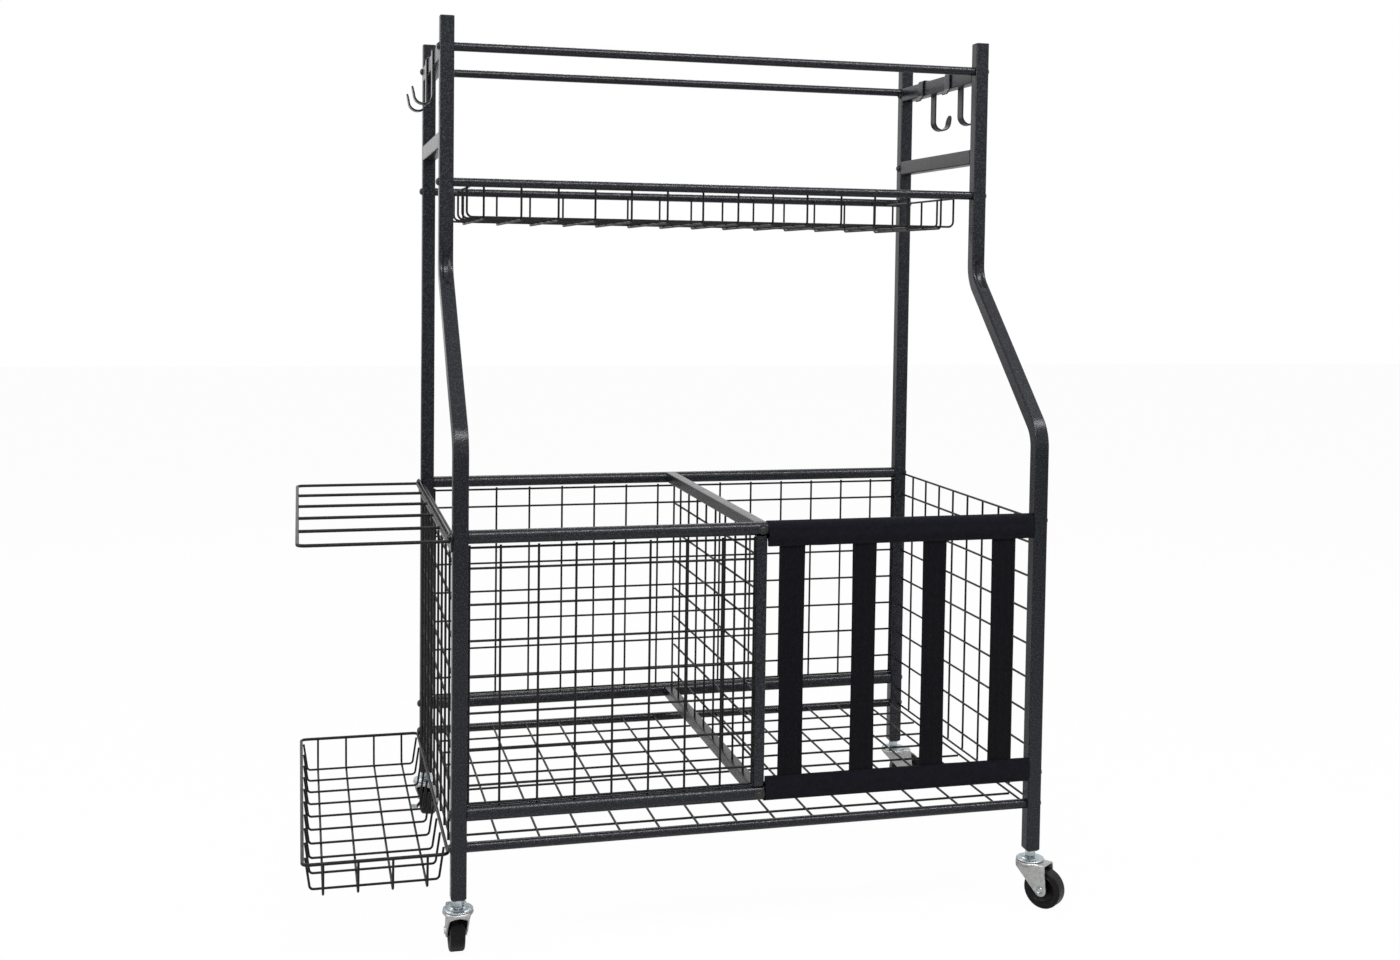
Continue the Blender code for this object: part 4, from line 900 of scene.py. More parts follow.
# %% Strip hooks that slide along the top side bars
HOOK_THICKNESS = 0.003
HOOK_CORNER = 0.0009
HOOK_BEND = 0.0165
HOOK_FOLD = 0.0035
HOOK_DROP = 0.084
HOOK_TIP_RISE = 0.0145
HOOK_TIP_LEAN = 0.003
HOOK_TIP_END = 0.35
HOOK_INNER_LEG = 0.030
HOOK_LIP_DROP = 0.010
HOOK_LIP_LEAN = 0.006
CURL_STEPS = 20
GAP = 0.0003


def hook_path(centre, size, out_way):
    """The hook's middle line, from its tip round the J, up, over the bar and down inside it."""
    half = HOOK_THICKNESS / 2
    out = size.x / 2 + GAP + half
    over = size.z / 2 + GAP + half
    low = -HOOK_DROP + half + HOOK_BEND
    tip = Vector((out + 2 * HOOK_BEND + HOOK_TIP_LEAN, 0, low + HOOK_TIP_RISE))
    curl = [
        Vector((out + HOOK_BEND * (1 + math.cos(a)), 0, low + HOOK_BEND * math.sin(a)))
        for a in (-math.pi * k / CURL_STEPS for k in range(CURL_STEPS + 1))
    ]
    legs = [curl[-1], (out, 0, over), (-out, 0, over), (-out, 0, over - HOOK_INNER_LEG)]
    legs.append((-out - HOOK_LIP_LEAN, 0, over - HOOK_INNER_LEG - HOOK_LIP_DROP))
    upper = bent(legs, HOOK_FOLD, 5)
    points = [tip.lerp(curl[0], k / 10) for k in range(10)] + curl[:-1] + upper
    return [centre + Vector((point.x * out_way, 0, point.z)) for point in points]


def make_hook(side, place):
    node, bar_node = f"hook_{side}_{place}", f"top_side_bar_{side}"
    bar_centre = middle(bar_node)
    centre = Vector((bar_centre.x, middle(node).y, bar_centre.z))
    width = extent(node).y
    path = hook_path(centre, extent(bar_node), -1 if side == "left" else 1)
    tip = path[0]

    def narrowed(point, x, y):
        """Rounds the tip: the strip narrows over its last half width."""
        away = min((point - tip).length / (width / 2), 1.0)
        return x, y * max(HOOK_TIP_END, math.sqrt(1 - (1 - away) ** 2))

    section = divided(rounded(HOOK_THICKNESS, width, HOOK_CORNER, 3), 6)
    strip = bar(path, Y_AXIS, section, shaped=narrowed)
    return piece(f"strip_hook_{side}_{place}", strip, HAMMERED_COAT, f"{side}_{place}_hook", node)


hooks = [make_hook(side, place) for side in SIDES for place in ("rear", "front")]
print("hooks:", len(hooks))

# %% [markdown]
# ## Sleeves
# Two sleeves of black cloth are drawn round the right half of the front rails. Each is one panel: it goes
# up in front of the rail, over it and down behind, and its two edges are sewn together into a hem below.
# The lower sleeve is the same upside down, with its hem above its rail. The section is drawn as that closed
# loop of cloth with its thickness, and small waves run along it, strongest at the hem, because sewn cloth
# between straps never hangs quite straight.

# %% Cloth sleeves round the front rails
CLOTH = 0.0016
SLEEVE_TAIL = 0.0285
SLEEVE_STEPS = 120
SLEEVE_ARC = (190, -35)
SLEEVE_WAVE = 0.0006
WAVES = [(41, 0.0, 0.6), (97, 1.3, 0.3), (233, 0.4, 0.12)]
SLEEVE_FLARE = 0.10
FLARE_LENGTH = 0.006
FLARE_DEPTH = 0.3
FRONT_HEM = [(0.0, 0.0), (-0.0002, 0.0035), (-0.0012, 0.0065)]
FRONT_HEM += [(-0.0026, 0.0105), (-0.0034, 0.015), (-0.0036, 0.020)]
REAR_HEM = [(0.0026, 0.012), (0.0004, 0.007), (0.0, 0.0)]
STRAP_CENTRE = middle("strap_1")
HALF_HEM = extent("strap_1").y / 2 + CLOTH / 2 + 2 * HAIR
LEAN = middle("upper_rail_front").y - STRAP_CENTRE.y


def sleeve_line(radius, steps=18):
    """Middle line of the panel from the front edge of the hem over the rail to its rear edge, in (y, z)."""
    front, rear, tail = -LEAN - HALF_HEM, -LEAN + HALF_HEM, -SLEEVE_TAIL
    points = [(front + y, tail + z) for y, z in FRONT_HEM]
    start, stop = map(math.radians, SLEEVE_ARC)
    for k in range(steps + 1):
        angle = start + (stop - start) * k / steps
        points.append((radius * math.cos(angle), radius * math.sin(angle)))
    return points + [(rear + y, tail + z) for y, z in REAR_HEM]


def sleeve_wave(x, depth):
    """How far the cloth strays at a place along it, more towards the hem."""
    slow = sum(share * math.sin(x * rate + start) for rate, start, share in WAVES)
    return SLEEVE_WAVE * slow * depth


def make_sleeve(node, rail, way):
    """A sleeve on its rail; way is 1 where the hem hangs and -1 where it stands up."""
    low, high = map(Vector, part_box(node))
    centre = middle(rail)
    radius = extent(rail).z / 2 + GAP + CLOTH / 2
    line = sleeve_line(radius)
    bm = bmesh.new()
    rings = []
    for k in range(SLEEVE_STEPS + 1):
        x = low.x + (high.x - low.x) * k / SLEEVE_STEPS
        flare = 1 + SLEEVE_FLARE * math.exp(-(x - low.x) / FLARE_LENGTH)
        ring_points = []
        for j, (y, z) in enumerate(line):
            depth = max(0.0, -z / SLEEVE_TAIL)
            one, other = line[max(j - 1, 0)], line[min(j + 1, len(line) - 1)]
            along = Vector((other[0] - one[0], other[1] - one[1])).normalized()
            normal = Vector((-along.y, along.x))
            stray = sleeve_wave(x, depth)
            for offset in (CLOTH / 2, -CLOTH / 2):
                spot = Vector((y, z)) + normal * offset
                spot.x = spot.x * (flare if depth < FLARE_DEPTH else 1) - stray
                spot.y -= abs(stray) * 0.5 * depth
                ring_points.append((spot.x, spot.y * way))
        outline = [ring_points[2 * j] for j in range(len(line))]
        outline += [ring_points[2 * j + 1] for j in reversed(range(len(line)))]
        rings.append([bm.verts.new((x, centre.y + y, centre.z + z)) for y, z in outline])
    for one, other in zip(rings, rings[1:]):
        bridge(bm, one, other)
    bm.faces.new(rings[0])
    bm.faces.new(rings[-1])
    panel = piece(node.replace("sleeve", "cloth_sleeve"), bm, SLEEVE_CLOTH, "frame", node)
    pairs = zip(line, line[1:])
    width = sum(math.dist(one, other) for one, other in pairs)
    print(node, f"panel {high.x - low.x:.3f} by {width:.3f} m")
    return panel


# %% [markdown]
# ## Stitches
# A row of dark thread runs through each hem, near its edge. A stitch is a wire of three points whose ends
# sink into the cloth, and it follows the waves of the cloth, so that none floats off. Real threads catch
# the light one by one, which a painted line would not.

# %% Stitches through the hems, and both sleeves
STITCH_HEIGHT = 0.0048
STITCH_PITCH = 0.0042
STITCH_LENGTH = 0.0030
STITCH_THREAD = 0.0006
STITCH_SINK = 0.0003
STITCH_START = 0.004
STITCH_STOP = 0.002


def make_stitches(node, rail, way):
    """A row of stitches through the hem, on the face that shows."""
    low, high = map(Vector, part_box(node))
    centre = middle(rail)
    z = centre.z - way * (SLEEVE_TAIL - STITCH_HEIGHT)
    y = centre.y - LEAN - HALF_HEM - CLOTH / 2
    starts = marks(low.x + STITCH_START, high.x - STITCH_STOP, STITCH_PITCH)
    runs = []
    for x in starts:
        stray = sleeve_wave(x, 1 - STITCH_HEIGHT / SLEEVE_TAIL)
        front = y - stray + HAIR
        ends = [Vector((x + along, front + STITCH_SINK, z)) for along in (0, STITCH_LENGTH)]
        runs.append([ends[0], Vector((x + STITCH_LENGTH / 2, front, z)), ends[1]])
    return wires(node.replace("sleeve", "hem_thread"), runs, STITCH_THREAD, "frame", material=THREAD)


SLEEVES = (("sleeve_upper", "upper_rail_front", 1), ("sleeve_lower", "lower_rail_front", -1))
for sleeve, rail, way in SLEEVES:
    make_sleeve(sleeve, rail, way)
    stitches = make_stitches(sleeve, rail, way)
    print(stitches.name, "stitches:", len(stitches.data.splines))

# %% [markdown]
# ## Straps
# Four elastic straps are stretched between the sleeves. Webbing of this kind has thick ribs down its
# length, so its section is drawn with them, and it draws in a little at mid height, where nothing holds
# its width. The straps are flat and tight, so they are modelled directly and not simulated.

# %% Elastic straps
STRAP_RIBS = 17
RIB_DEPTH = 0.00018
STRAP_WAIST = 0.035
STRAP_EDGE = 0.0009
STRAP_EDGE_END = 0.04
STRAP_STEPS = 48


def strap_section(width, thickness):
    """Outline of ribbed webbing: small waves on both faces, round edges."""
    steps = STRAP_RIBS * 6
    front = []
    for k in range(steps + 1):
        y = -width / 2 + width * k / steps
        edge = min(1.0, (width / 2 - abs(y)) / STRAP_EDGE)
        rib = RIB_DEPTH * math.cos(math.tau * STRAP_RIBS * k / steps)
        half = thickness / 2 * math.sqrt(max(edge, STRAP_EDGE_END))
        front.append((half - RIB_DEPTH + rib, y))
    return front + [(-x, y) for x, y in reversed(front)]


def make_strap(node):
    low, high = map(Vector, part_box(node))
    centre, size = middle(node), extent(node)
    heights = [low.z + size.z * k / STRAP_STEPS for k in range(STRAP_STEPS + 1)]
    path = [Vector((centre.x, centre.y, z)) for z in heights]

    def drawn_in(point, x, y):
        """Narrower half way between the sleeves."""
        share = (point.z - low.z) / size.z
        return x, y * (1 - STRAP_WAIST * math.sin(math.pi * share))

    webbing = bar(path, X_AXIS, strap_section(size.x, size.y), shaped=drawn_in)
    strap = piece(node.replace("strap", "elastic_strap"), webbing, WEBBING, "frame", node)
    return strap


straps = [make_strap(f"strap_{k}") for k in (1, 2, 3, 4)]
print("straps:", len(straps), f"{extent('strap_1').x * 1000:.1f} mm wide")

# %% [markdown]
# ## Casters
# Each caster has four pieces: a stem that stays with the post, a fork that swivels about the kingpin, and a
# wheel on a riveted axle. They are built about the kingpin with the wheel trailing along X. Fork, axle and
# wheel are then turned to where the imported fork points, because a shape is easier to draw straight.

# %% Where each caster stands
def caster_place(corner):
    """The matrix that carries a caster from about the origin to its post, turned to its wheel."""
    stem, axle = middle(f"caster_{corner}_stem"), middle(f"caster_{corner}_wheel")
    angle = math.atan2(axle.y - stem.y, axle.x - stem.x)
    return Matrix.Translation((stem.x, stem.y, 0)) @ Matrix.Rotation(angle, 4, "Z")


def placed(bm, matrix):
    bm.transform(matrix)
    return bm


AXLE_HEIGHT = middle("caster_left_front_wheel").z
WHEEL = 2 * AXLE_HEIGHT
WHEEL_WIDTH = 0.025
HOOD_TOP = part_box("caster_left_front_fork")[1][2]
TRAIL = (middle("caster_left_front_wheel") - middle("caster_left_front_stem")).xy.length
print(f"wheel {WHEEL * 1000:.1f} mm, trail {TRAIL * 1000:.1f} mm, hood top {HOOD_TOP * 1000:.1f} mm")

# %% [markdown]
# ## Stems
# A stem holds the caster in its post: a square plug in the tube, a hexagon nut under it, and a shallow race
# that is pressed in steps over the balls. The race is turned from a profile, because it is round. Nut and
# plug are stacks of outlines, because they are not. All three stand still while the fork swivels.

# %% Stems: plug, nut and race
RACE_DIAMETER = 0.0485
RACE_HEIGHT = 0.0062
RACE_RIM = [(0.0040, 0), (0.0008, 0), (0, 0.0006), (0, 0.0018), (0.0006, 0.0024), (0.0030, 0.0028)]
RACE_DOME = [(0.0050, 0.0036), (0.0065, 0.0034), (0.0085, 0.0046), (0.0115, 0.0058), (0.0130, RACE_HEIGHT)]
NUT_FLATS = 0.017
NUT_END = 0.98
NUT_BEVEL = 0.0010
NUT_RISE = 0.004
PLUG_START = 0.0035
PLUG_END = 0.030
PLUG_CORNER = 0.001
SINK = 0.0005


def make_stem(corner):
    race_low, race_top = HOOD_TOP + GAP, HOOD_TOP + GAP + RACE_HEIGHT
    steps = [(RACE_DIAMETER / 2 - inward, race_low + up) for inward, up in RACE_RIM + RACE_DOME]
    race = turned([(0, HOOD_TOP - SINK), *steps, (0, race_top)], sides=64)
    nut_top = POST_FOOT + NUT_RISE
    end, flats = circle(NUT_FLATS * NUT_END, 6), circle(NUT_FLATS / math.cos(math.pi / 6), 6)
    levels = [(race_top - SINK, end), (race_top + NUT_BEVEL, flats)]
    levels += [(nut_top - NUT_BEVEL, flats), (nut_top, end)]
    bore = TUBE - 2 * TUBE_WALL - 2 * GAP
    square = rounded(bore, bore, PLUG_CORNER)
    plug = stacked([(POST_FOOT + PLUG_START, square), (POST_FOOT + PLUG_END, square)], Vector())
    matrix = Matrix.Translation(middle(f"caster_{corner}_stem") * Vector((1, 1, 0)))
    stem = joined([race, stacked(levels, Vector()), plug])
    return piece(f"zinc_stem_{corner}", placed(stem, matrix), BRIGHT_ZINC, "frame", f"caster_{corner}_stem")


for corner in CORNERS:
    make_stem(corner)
print("stems:", len(CORNERS))

# %% [markdown]
# ## Forks
# A fork is pressed from one sheet. It starts as a solid hood: round behind, square in front, with a rounded
# top and walls that narrow to the cheeks. One Boolean keeps what lies within its slanted side view, another
# hollows it to the thickness of the sheet, and a small bevel breaks the cut edges. That follows the steps
# of the press, and it needs far fewer points than to draw the folded sheet.

# %% Forks: a pressed hood cut on a slant
SHEET = 0.0025
HOOD = 0.050
HOOD_REACH = 0.035
HOOD_BACK_DROP = 0.005
HOOD_EDGE = 0.0035
HOOD_NECK = 0.013
HOOD_BEVEL = 0.0005
NECK_SPREAD = 0.04
WAIST_SPREAD = 0.55
CHEEK_END = 0.022
CHEEK_OUTSIDE = 0.01685


def hood_outline(inset, front, spread=1.0):
    """The hood from above: a disc run out square over the wheel. spread 0 narrows the disc to the cheeks."""
    radius, half = HOOD / 2 - inset, CHEEK_OUTSIDE - inset
    first = math.asin(half / radius)
    points = [(front, -half), (front, half)]
    for k in range(49):
        angle = first + (math.tau - 2 * first) * k / 48
        x, y = radius * math.cos(angle), radius * math.sin(angle)
        beyond = max(0.0, abs(y) - half)
        points.append((x, math.copysign(abs(y) - beyond * (1 - spread), y)))
    return points


def domed(inset, front, low, top, edge):
    """A body with the hood's outline, a rounded top edge and walls that narrow to the cheeks."""
    walls = [(low, NECK_SPREAD), (top - HOOD_NECK, NECK_SPREAD), (top - HOOD_NECK / 2, WAIST_SPREAD)]
    levels = [(z, hood_outline(inset, front, spread)) for z, spread in walls]
    for k in range(7):
        angle = math.pi / 2 * k / 6
        shrink = edge * (1 - math.cos(angle))
        levels.append((top - edge + edge * math.sin(angle), hood_outline(inset + shrink, front)))
    return stacked(levels, Vector())


def slant_profile():
    """The fork from the side: a slant to the round end about the axle, and a steep edge back up."""
    axle, end = Vector((TRAIL, AXLE_HEIGHT)), CHEEK_END / 2

    def touching(point, way):
        away = point - axle
        return math.atan2(away.y, away.x) + way * math.acos(end / away.length)

    back, front = Vector((-HOOD / 2, HOOD_TOP - HOOD_BACK_DROP)), Vector((HOOD_REACH, HOOD_TOP))
    first, last = touching(back, 1), touching(front, -1) + math.tau
    around = []
    for k in range(25):
        angle = first + (last - first) * k / 24
        around.append(axle + Vector((math.cos(angle), math.sin(angle))) * end)
    past_back = back + (back - around[0]) / 4
    past_front = front + (front - around[-1]) / 4
    return [(past_back.x, past_front.y), past_back, *around, past_front]


# %% [markdown]
# ## Axles
# A rivet joins the two cheeks and carries the wheel. The press leaves its heads with a raised middle inside
# a ring. It is turned from one profile, from head to head. On the rear casters one head stands further out,
# because the brake's rocker lies under it.

# %% Riveted axles and finished forks
SHANK = 0.004
RIVET_HEAD = [(0, 0.0021), (0.0028, 0.0021), (0.0034, 0.0014), (0.0042, 0.0014)]
RIVET_HEAD += [(0.0052, 0.0024), (0.0062, 0.0014), (0.0064, 0.0), (SHANK, -SINK)]
ROCKER_ROOM = 0.0026


def rivet(half, far_gap=0.0):
    """The axle across the fork with a pressed head at each side, the far one over what lies between."""
    profile = [(radius, -half - rise) for radius, rise in RIVET_HEAD]
    profile += [(radius, half + far_gap + rise) for radius, rise in reversed(RIVET_HEAD)]
    return turned(profile, 40, Y_AXIS, (TRAIL, 0, AXLE_HEIGHT))


def make_fork(corner):
    ahead = TRAIL + CHEEK_END
    hood = solid(f"hood_fork_{corner}", domed(0, ahead, 0, HOOD_TOP, HOOD_EDGE))
    bm = bmesh.new()
    near, far = [[bm.verts.new((x, y, z)) for x, z in slant_profile()] for y in (-HOOD, HOOD)]
    bridge(bm, near, far)
    bm.faces.new(near)
    bm.faces.new(far)
    combined(hood, [solid("profile", bm)], "INTERSECT")
    inside = solid("inside", domed(SHEET, ahead * 2, -SHEET, HOOD_TOP - SHEET, HOOD_EDGE - SHEET / 2))
    combined(hood, [inside], "DIFFERENCE")
    bevel = hood.modifiers.new("Bevel", "BEVEL")
    bevel.width = HOOD_BEVEL
    bevel.segments = 2
    bevel.angle_limit = math.radians(50)
    combined(hood, [], "UNION")
    axle = rivet(CHEEK_OUTSIDE, ROCKER_ROOM if corner.endswith("rear") else 0.0)
    piece(f"axle_rivet_{corner}", placed(axle, caster_place(corner)), BRIGHT_ZINC, f"{corner}_fork")
    hood.data.transform(caster_place(corner))
    return dress(hood, DULL_ZINC, f"{corner}_fork", f"caster_{corner}_fork")


for corner in CORNERS:
    fork = make_fork(corner)
    print(fork.name, "vertices:", len(fork.data.vertices))

# %% [markdown]
# ## Wheels
# A wheel is moulded in one piece: a hub that reaches almost to the cheeks, a dished side, a raised ring and
# a tread with rounded edges. All of that is round about the axle, so one profile is turned there. The
# profile is given for one side and mirrored for the other.

# %% Wheels: rounded tread, raised ring and dished side
HUB = [(0.0043, 0.01375), (0.0085, 0.01375), (0.0100, 0.0130)]
DISH = [(0.0104, 0.0045), (0.0190, 0.0040), (0.0225, 0.0010), (0.0232, 0.0002)]
DISH += [(0.0242, 0.0002), (0.0248, 0.0009), (0.0262, 0.0009)]
SIDE_STEP = 0.0003
SHOULDER = 0.0042
TREAD_EDGE = 0.0035
TREAD_FLAT = 0.010


def make_wheel(corner):
    r, half = WHEEL / 2, WHEEL_WIDTH / 2
    side = HUB + [(radius, half - depth) for radius, depth in DISH]
    side.append((r - SHOULDER, half - SIDE_STEP))
    for k in range(7):
        angle = math.pi / 2 * k / 6
        radius = r - TREAD_EDGE + TREAD_EDGE * math.sin(angle)
        side.append((radius, half - TREAD_EDGE + TREAD_EDGE * math.cos(angle) - SIDE_STEP))
    crown = [(r, TREAD_FLAT / 2), (r, 0.0)]
    profile = side + crown + [(radius, -z) for radius, z in reversed(side + crown[:1])]
    wheel = turned(profile, 72, Y_AXIS, (TRAIL, 0, AXLE_HEIGHT))
    name, node = f"rubber_wheel_{corner}", f"caster_{corner}_wheel"
    return piece(name, placed(wheel, caster_place(corner)), WHEEL_RUBBER, f"{corner}_wheel", node)


for corner in CORNERS:
    make_wheel(corner)
print("wheels:", len(CORNERS))

# %% [markdown]
# ## Brakes
# The rear casters have a rocker on the axle: a bright strip outside one cheek with a tab turned out at each
# end, to be pressed down by a foot. The tabs have round corners. Strip, eye and the web between them are
# three closed solids in one piece, which lap into each other as the folds of the real sheet do.

# %% Brake rockers on the rear casters
BRAKE_SHEET = 0.002
BRAKE_REACH = 0.0265
BRAKE_EAR = 0.014
BRAKE_DROP = 0.012
BRAKE_HEIGHT = 0.008
BRAKE_CORNER = 0.0006
BRAKE_BEND = 0.0025
BRAKE_TIP = 0.004
BRAKE_TIP_END = 0.4
EYE_HOLE = 0.0043
EYE_RIM = 0.007
WEB_SHEET = 0.0016
WEB_WIDTH = 0.010
WEB_CORNER = 0.0004
WEB_GAP = 0.0055


def make_brake(corner):
    half, y = BRAKE_SHEET / 2, CHEEK_OUTSIDE + GAP + BRAKE_SHEET / 2
    low = AXLE_HEIGHT - BRAKE_DROP
    corners = [(-BRAKE_REACH, BRAKE_EAR), (-BRAKE_REACH, 0), (BRAKE_REACH, 0), (BRAKE_REACH, BRAKE_EAR)]
    path = bent([Vector((TRAIL + x, y + out, low)) for x, out in corners], BRAKE_BEND, 5)
    tips = (path[0], path[-1])

    def round_tip(point, across, height):
        away = min(min((point - tip).length for tip in tips) / BRAKE_TIP, 1.0)
        return across, height * max(BRAKE_TIP_END, math.sqrt(1 - (1 - away) ** 2))

    path = [path[0]] + [path[0].lerp(path[1], k / 6) for k in range(1, 6)] + path[1:-1]
    path += [path[-1].lerp(tips[1], k / 6) for k in range(1, 6)] + [tips[1]]
    strip = bar(path, Z_AXIS, rounded(BRAKE_SHEET, BRAKE_HEIGHT, BRAKE_CORNER, 3), shaped=round_tip)
    eye = turned([(EYE_HOLE, -half), (EYE_RIM, -half), (EYE_RIM, half), (EYE_HOLE, half)], 40, Y_AXIS)
    placed(eye, Matrix.Translation((TRAIL, y, AXLE_HEIGHT)))
    web_path = [Vector((TRAIL, y, low)), Vector((TRAIL, y, AXLE_HEIGHT - WEB_GAP))]
    web = bar(web_path, X_AXIS, rounded(WEB_SHEET, WEB_WIDTH, WEB_CORNER, 2))
    rocker = placed(joined([strip, eye, web]), caster_place(corner))
    name, node = f"zinc_brake_{corner}", f"caster_{corner}_brake"
    return piece(name, rocker, BRIGHT_ZINC, f"{corner}_brake", node)


for corner in ("left_rear", "right_rear"):
    make_brake(corner)
print("brakes: 2")

# %% [markdown]
# ## Bolts
# Domed black bolts go through the outer faces of the posts into the ends of the rails. Where the rack's
# strip lies between, they sit on the strip. One more head shows on the inner face of each rear post at each
# side bar, and smaller ones hold the divider: two in front over wide washers, two at the rear. Each head is
# a turned dome over a thin washer, and all of them are one piece, because they share finish and body.

# %% Domed bolts
HEAD = 0.013
HEAD_RISE = 0.0042
SMALL_HEAD = 0.011
SMALL_HEAD_RISE = 0.0036
WASHER = 1.12
WIDE_WASHER = 1.5
WASHER_SINK = 0.001
WASHER_TOP = 0.0009
DOME_FOOT = 0.0011
DOME_ANGLES = (0.25, 0.5, 0.8, 1.1, 1.35)


def dome(centre, along, diameter=HEAD, height=HEAD_RISE, washer=WASHER):
    """A domed head on its washer, standing out along a direction."""
    r = diameter / 2
    profile = [(0, -WASHER_SINK), (r * washer, -WASHER_SINK), (r * washer, WASHER_TOP), (r, DOME_FOOT)]
    profile += [(r * math.cos(a), DOME_FOOT + height * math.sin(a)) for a in DOME_ANGLES]
    profile.append((0, DOME_FOOT + height))
    return turned(profile, 32, Vector(along), centre)


heads = []
for side, x in SIDES.items():
    out = -1 if side == "left" else 1
    face = x + out * TUBE / 2
    for kind in RAIL_KINDS:
        for end in ("front", "rear"):
            rail = middle(f"{kind}_{end}")
            strip_there = side == "left" and kind == "upper_rail"
            at = face + out * (extent("rack_strip").x + GAP if strip_there else 0)
            heads.append(dome((at, rail.y, rail.z), (out, 0, 0)))
    for kind in ("top", "mid"):
        heads.append(dome((x - out * TUBE / 2, REAR, middle(f"{kind}_side_bar_{side}").z), (-out, 0, 0)))
for end, way, washer in (("front", -1, WIDE_WASHER), ("rear", 1, WASHER)):
    for kind in ("upper_rail", "lower_rail"):
        rail = middle(f"{kind}_{end}")
        at = (middle("divider_post").x, rail.y + way * extent(f"{kind}_{end}").y / 2, rail.z)
        heads.append(dome(at, (0, way, 0), SMALL_HEAD, SMALL_HEAD_RISE, washer))
count = len(heads)
piece("domed_bolts", joined(heads), BLACK_STEEL, "frame")
print("bolts:", count)

# %% [markdown]
# ## Floor and light
# The cart stands on a plain pale floor in soft light, as in a studio. The camera sees floor and world nearly
# white, while the lamps stay at a plain level. Light Path tells a shader which rays come from the camera,
# so the white costs the cart no extra light, and the floor keeps a trace of its shadow. Mirrored rays see
# the white world too, because zinc looks like zinc only in a bright room.

# %% Pale floor and world
FLOOR_WHITE = 0.97
FLOOR_GREY = (0.9, 0.9, 0.9, 1)
FLOOR_SIZE = 30
WORLD_FILL = 0.3
WORLD_WHITE = 1.0


def make_floor():
    material = bpy.data.materials.new("pale_floor")
    material.use_nodes = True
    tree = material.node_tree
    tree.nodes.clear()
    camera_ray = add_node(tree, "ShaderNodeLightPath").outputs["Is Camera Ray"]
    seen = add_node(tree, "ShaderNodeMath", {0: camera_ray, 1: FLOOR_WHITE}, operation="MULTIPLY").outputs[0]
    grey = add_node(tree, "ShaderNodeBsdfDiffuse", {"Color": FLOOR_GREY}).outputs[0]
    white = add_node(tree, "ShaderNodeEmission", {"Strength": 1.0}).outputs[0]
    mix = add_node(tree, "ShaderNodeMixShader", {0: seen, 1: grey, 2: white}).outputs[0]
    add_node(tree, "ShaderNodeOutputMaterial", {"Surface": mix})
    bpy.ops.mesh.primitive_plane_add(size=FLOOR_SIZE)
    floor = bpy.context.object
    floor.name = "floor"
    floor.data.materials.append(material)
    return floor


def make_world():
    world = bpy.data.worlds.new("pale_world")
    bpy.context.scene.world = world
    world.use_nodes = True
    tree = world.node_tree
    background = tree.nodes["Background"]
    background.inputs["Color"].default_value = (1, 1, 1, 1)
    rays = add_node(tree, "ShaderNodeLightPath").outputs
    seen = rays["Is Camera Ray"]
    for ray in ("Is Glossy Ray", "Is Transmission Ray"):
        seen = add_node(tree, "ShaderNodeMath", {0: seen, 1: rays[ray]}, operation="MAXIMUM").outputs[0]
    levels = {"Value": seen, "To Min": WORLD_FILL, "To Max": WORLD_WHITE}
    level = add_node(tree, "ShaderNodeMapRange", levels).outputs[0]
    tree.links.new(level, background.inputs["Strength"])


make_floor()
make_world()
bpy.context.scene.view_settings.view_transform = "Standard"
print("floor and world are pale")

# %% [markdown]
# ## Lamps
# A round bar shows a line of light only where it can mirror a lamp, so the lamps before and behind the cart
# are long and narrow, like the strip lights of a studio: they draw one line along the whole of each bar. A
# square lamp on the left fills the side faces. The hammered coat breaks each line into flecks.

# %% Area lamps
LAMP_AIM = Vector((0, 0, 0.8))
LAMPS = {
    "front_lamp": {"place": (0.7, -1.9, 3.5), "width": 4.6, "height": 0.22, "power": 120},
    "left_lamp": {"place": (-3.4, -0.6, 2.2), "width": 1.2, "height": 1.2, "power": 40},
    "rear_lamp": {"place": (-0.4, 2.6, 3.4), "width": 3.6, "height": 0.3, "power": 40},
}


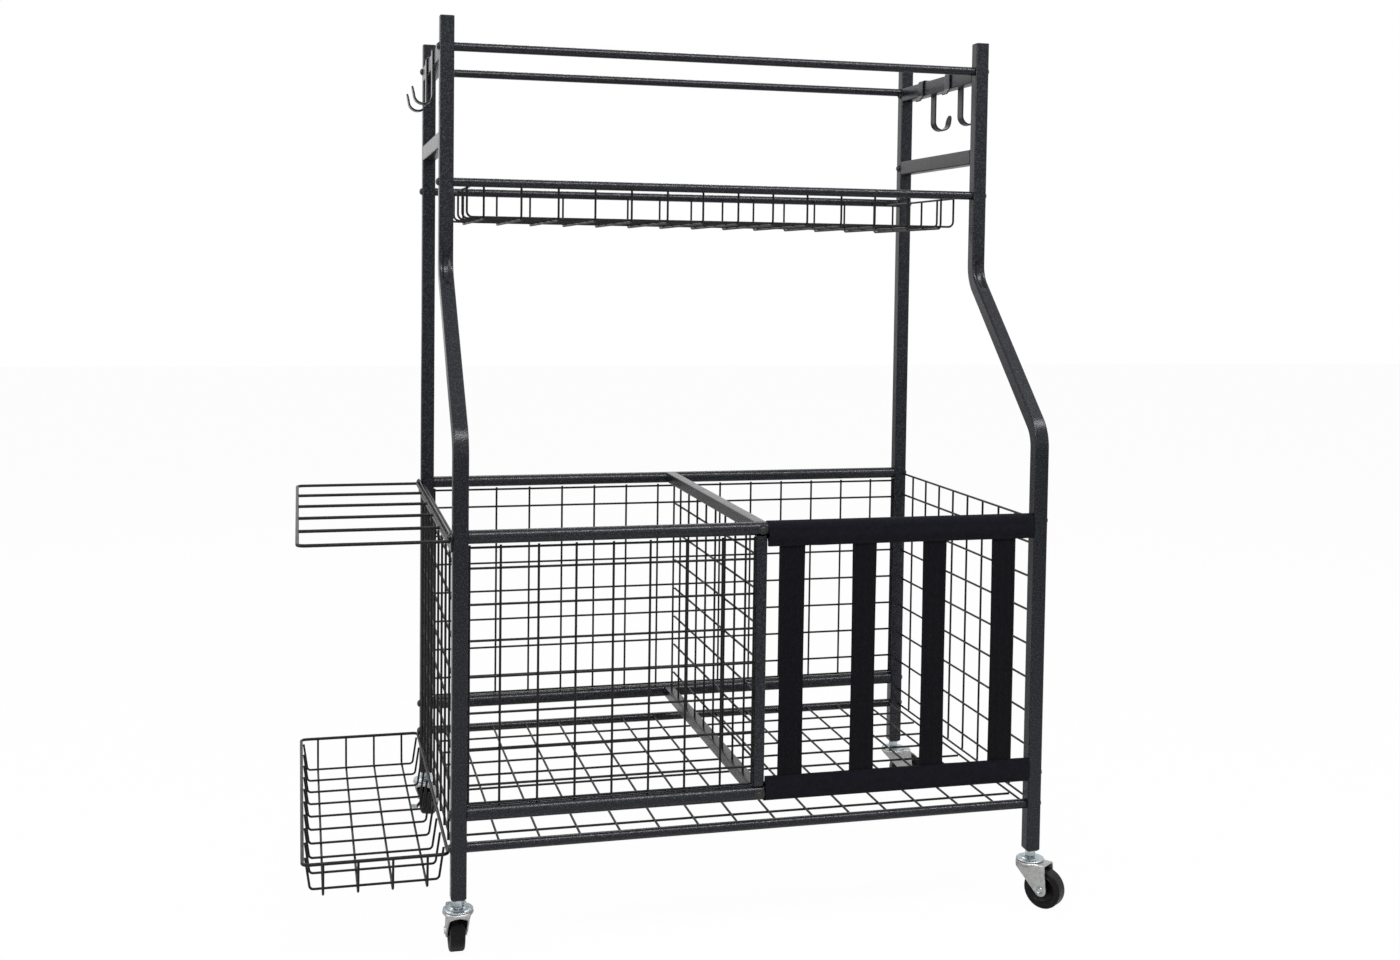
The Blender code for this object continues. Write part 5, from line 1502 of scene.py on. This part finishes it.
def lamp(name, place, width, height, power):
    """An oblong lamp that looks at the middle of the cart."""
    light = bpy.data.lights.new(name, "AREA")
    light.shape = "RECTANGLE"
    light.size = width
    light.size_y = height
    light.energy = power
    obj = bpy.data.objects.new(name, light)
    bpy.context.collection.objects.link(obj)
    obj.location = place
    obj.rotation_euler = (LAMP_AIM - obj.location).to_track_quat("-Z", "Y").to_euler()


for name, settings in LAMPS.items():
    lamp(name, **settings)
print("lamps:", len(LAMPS))

# %% [markdown]
# ## Camera
# The camera was fitted to the straight edges of the cart in the photograph: it stands about three metres
# away, a little above the basket, left of the middle, and its picture is shifted down so that the uprights
# stay upright. Its place is given in metres from the spot on the floor halfway between the rear posts, so
# it moves with the cart. Its lens and its shift come from pixels of the photograph.

# %% Camera at the photograph's place
CAMERA_PLACE = Vector((-0.7487, -3.1275, 1.1031))
CAMERA_YAW = 0.252
CAMERA_PITCH = -0.047
CAMERA_ROLL = 0.013
FOCAL_PIXELS = 1562.8
PICTURE_WIDTH = 1400
PICTURE_HEIGHT = 960
VIEW_CENTRE_HEIGHT = 344.9
SENSOR_WIDTH = 36

level = math.cos(CAMERA_PITCH)
forward = Vector((math.sin(CAMERA_YAW) * level, math.cos(CAMERA_YAW) * level, math.sin(CAMERA_PITCH)))
level_right = Vector((math.cos(CAMERA_YAW), -math.sin(CAMERA_YAW), 0))
level_up = level_right.cross(forward)
right = level_right * math.cos(CAMERA_ROLL) + level_up * math.sin(CAMERA_ROLL)
up = level_up * math.cos(CAMERA_ROLL) - level_right * math.sin(CAMERA_ROLL)
origin = Vector(((SIDES["left"] + SIDES["right"]) / 2, REAR, 0))
camera = bpy.data.cameras.new("camera")
camera.sensor_width = SENSOR_WIDTH
camera.lens = FOCAL_PIXELS / PICTURE_WIDTH * SENSOR_WIDTH
camera.shift_y = (VIEW_CENTRE_HEIGHT - PICTURE_HEIGHT / 2) / PICTURE_WIDTH
camera_obj = bpy.data.objects.new("camera", camera)
bpy.context.collection.objects.link(camera_obj)
turn = Matrix((right, up, -forward)).transposed().to_4x4()
camera_obj.matrix_world = Matrix.Translation(origin + CAMERA_PLACE) @ turn
bpy.context.scene.camera = camera_obj
print(f"lens {camera.lens:.2f} mm, shift {camera.shift_y:.4f}")
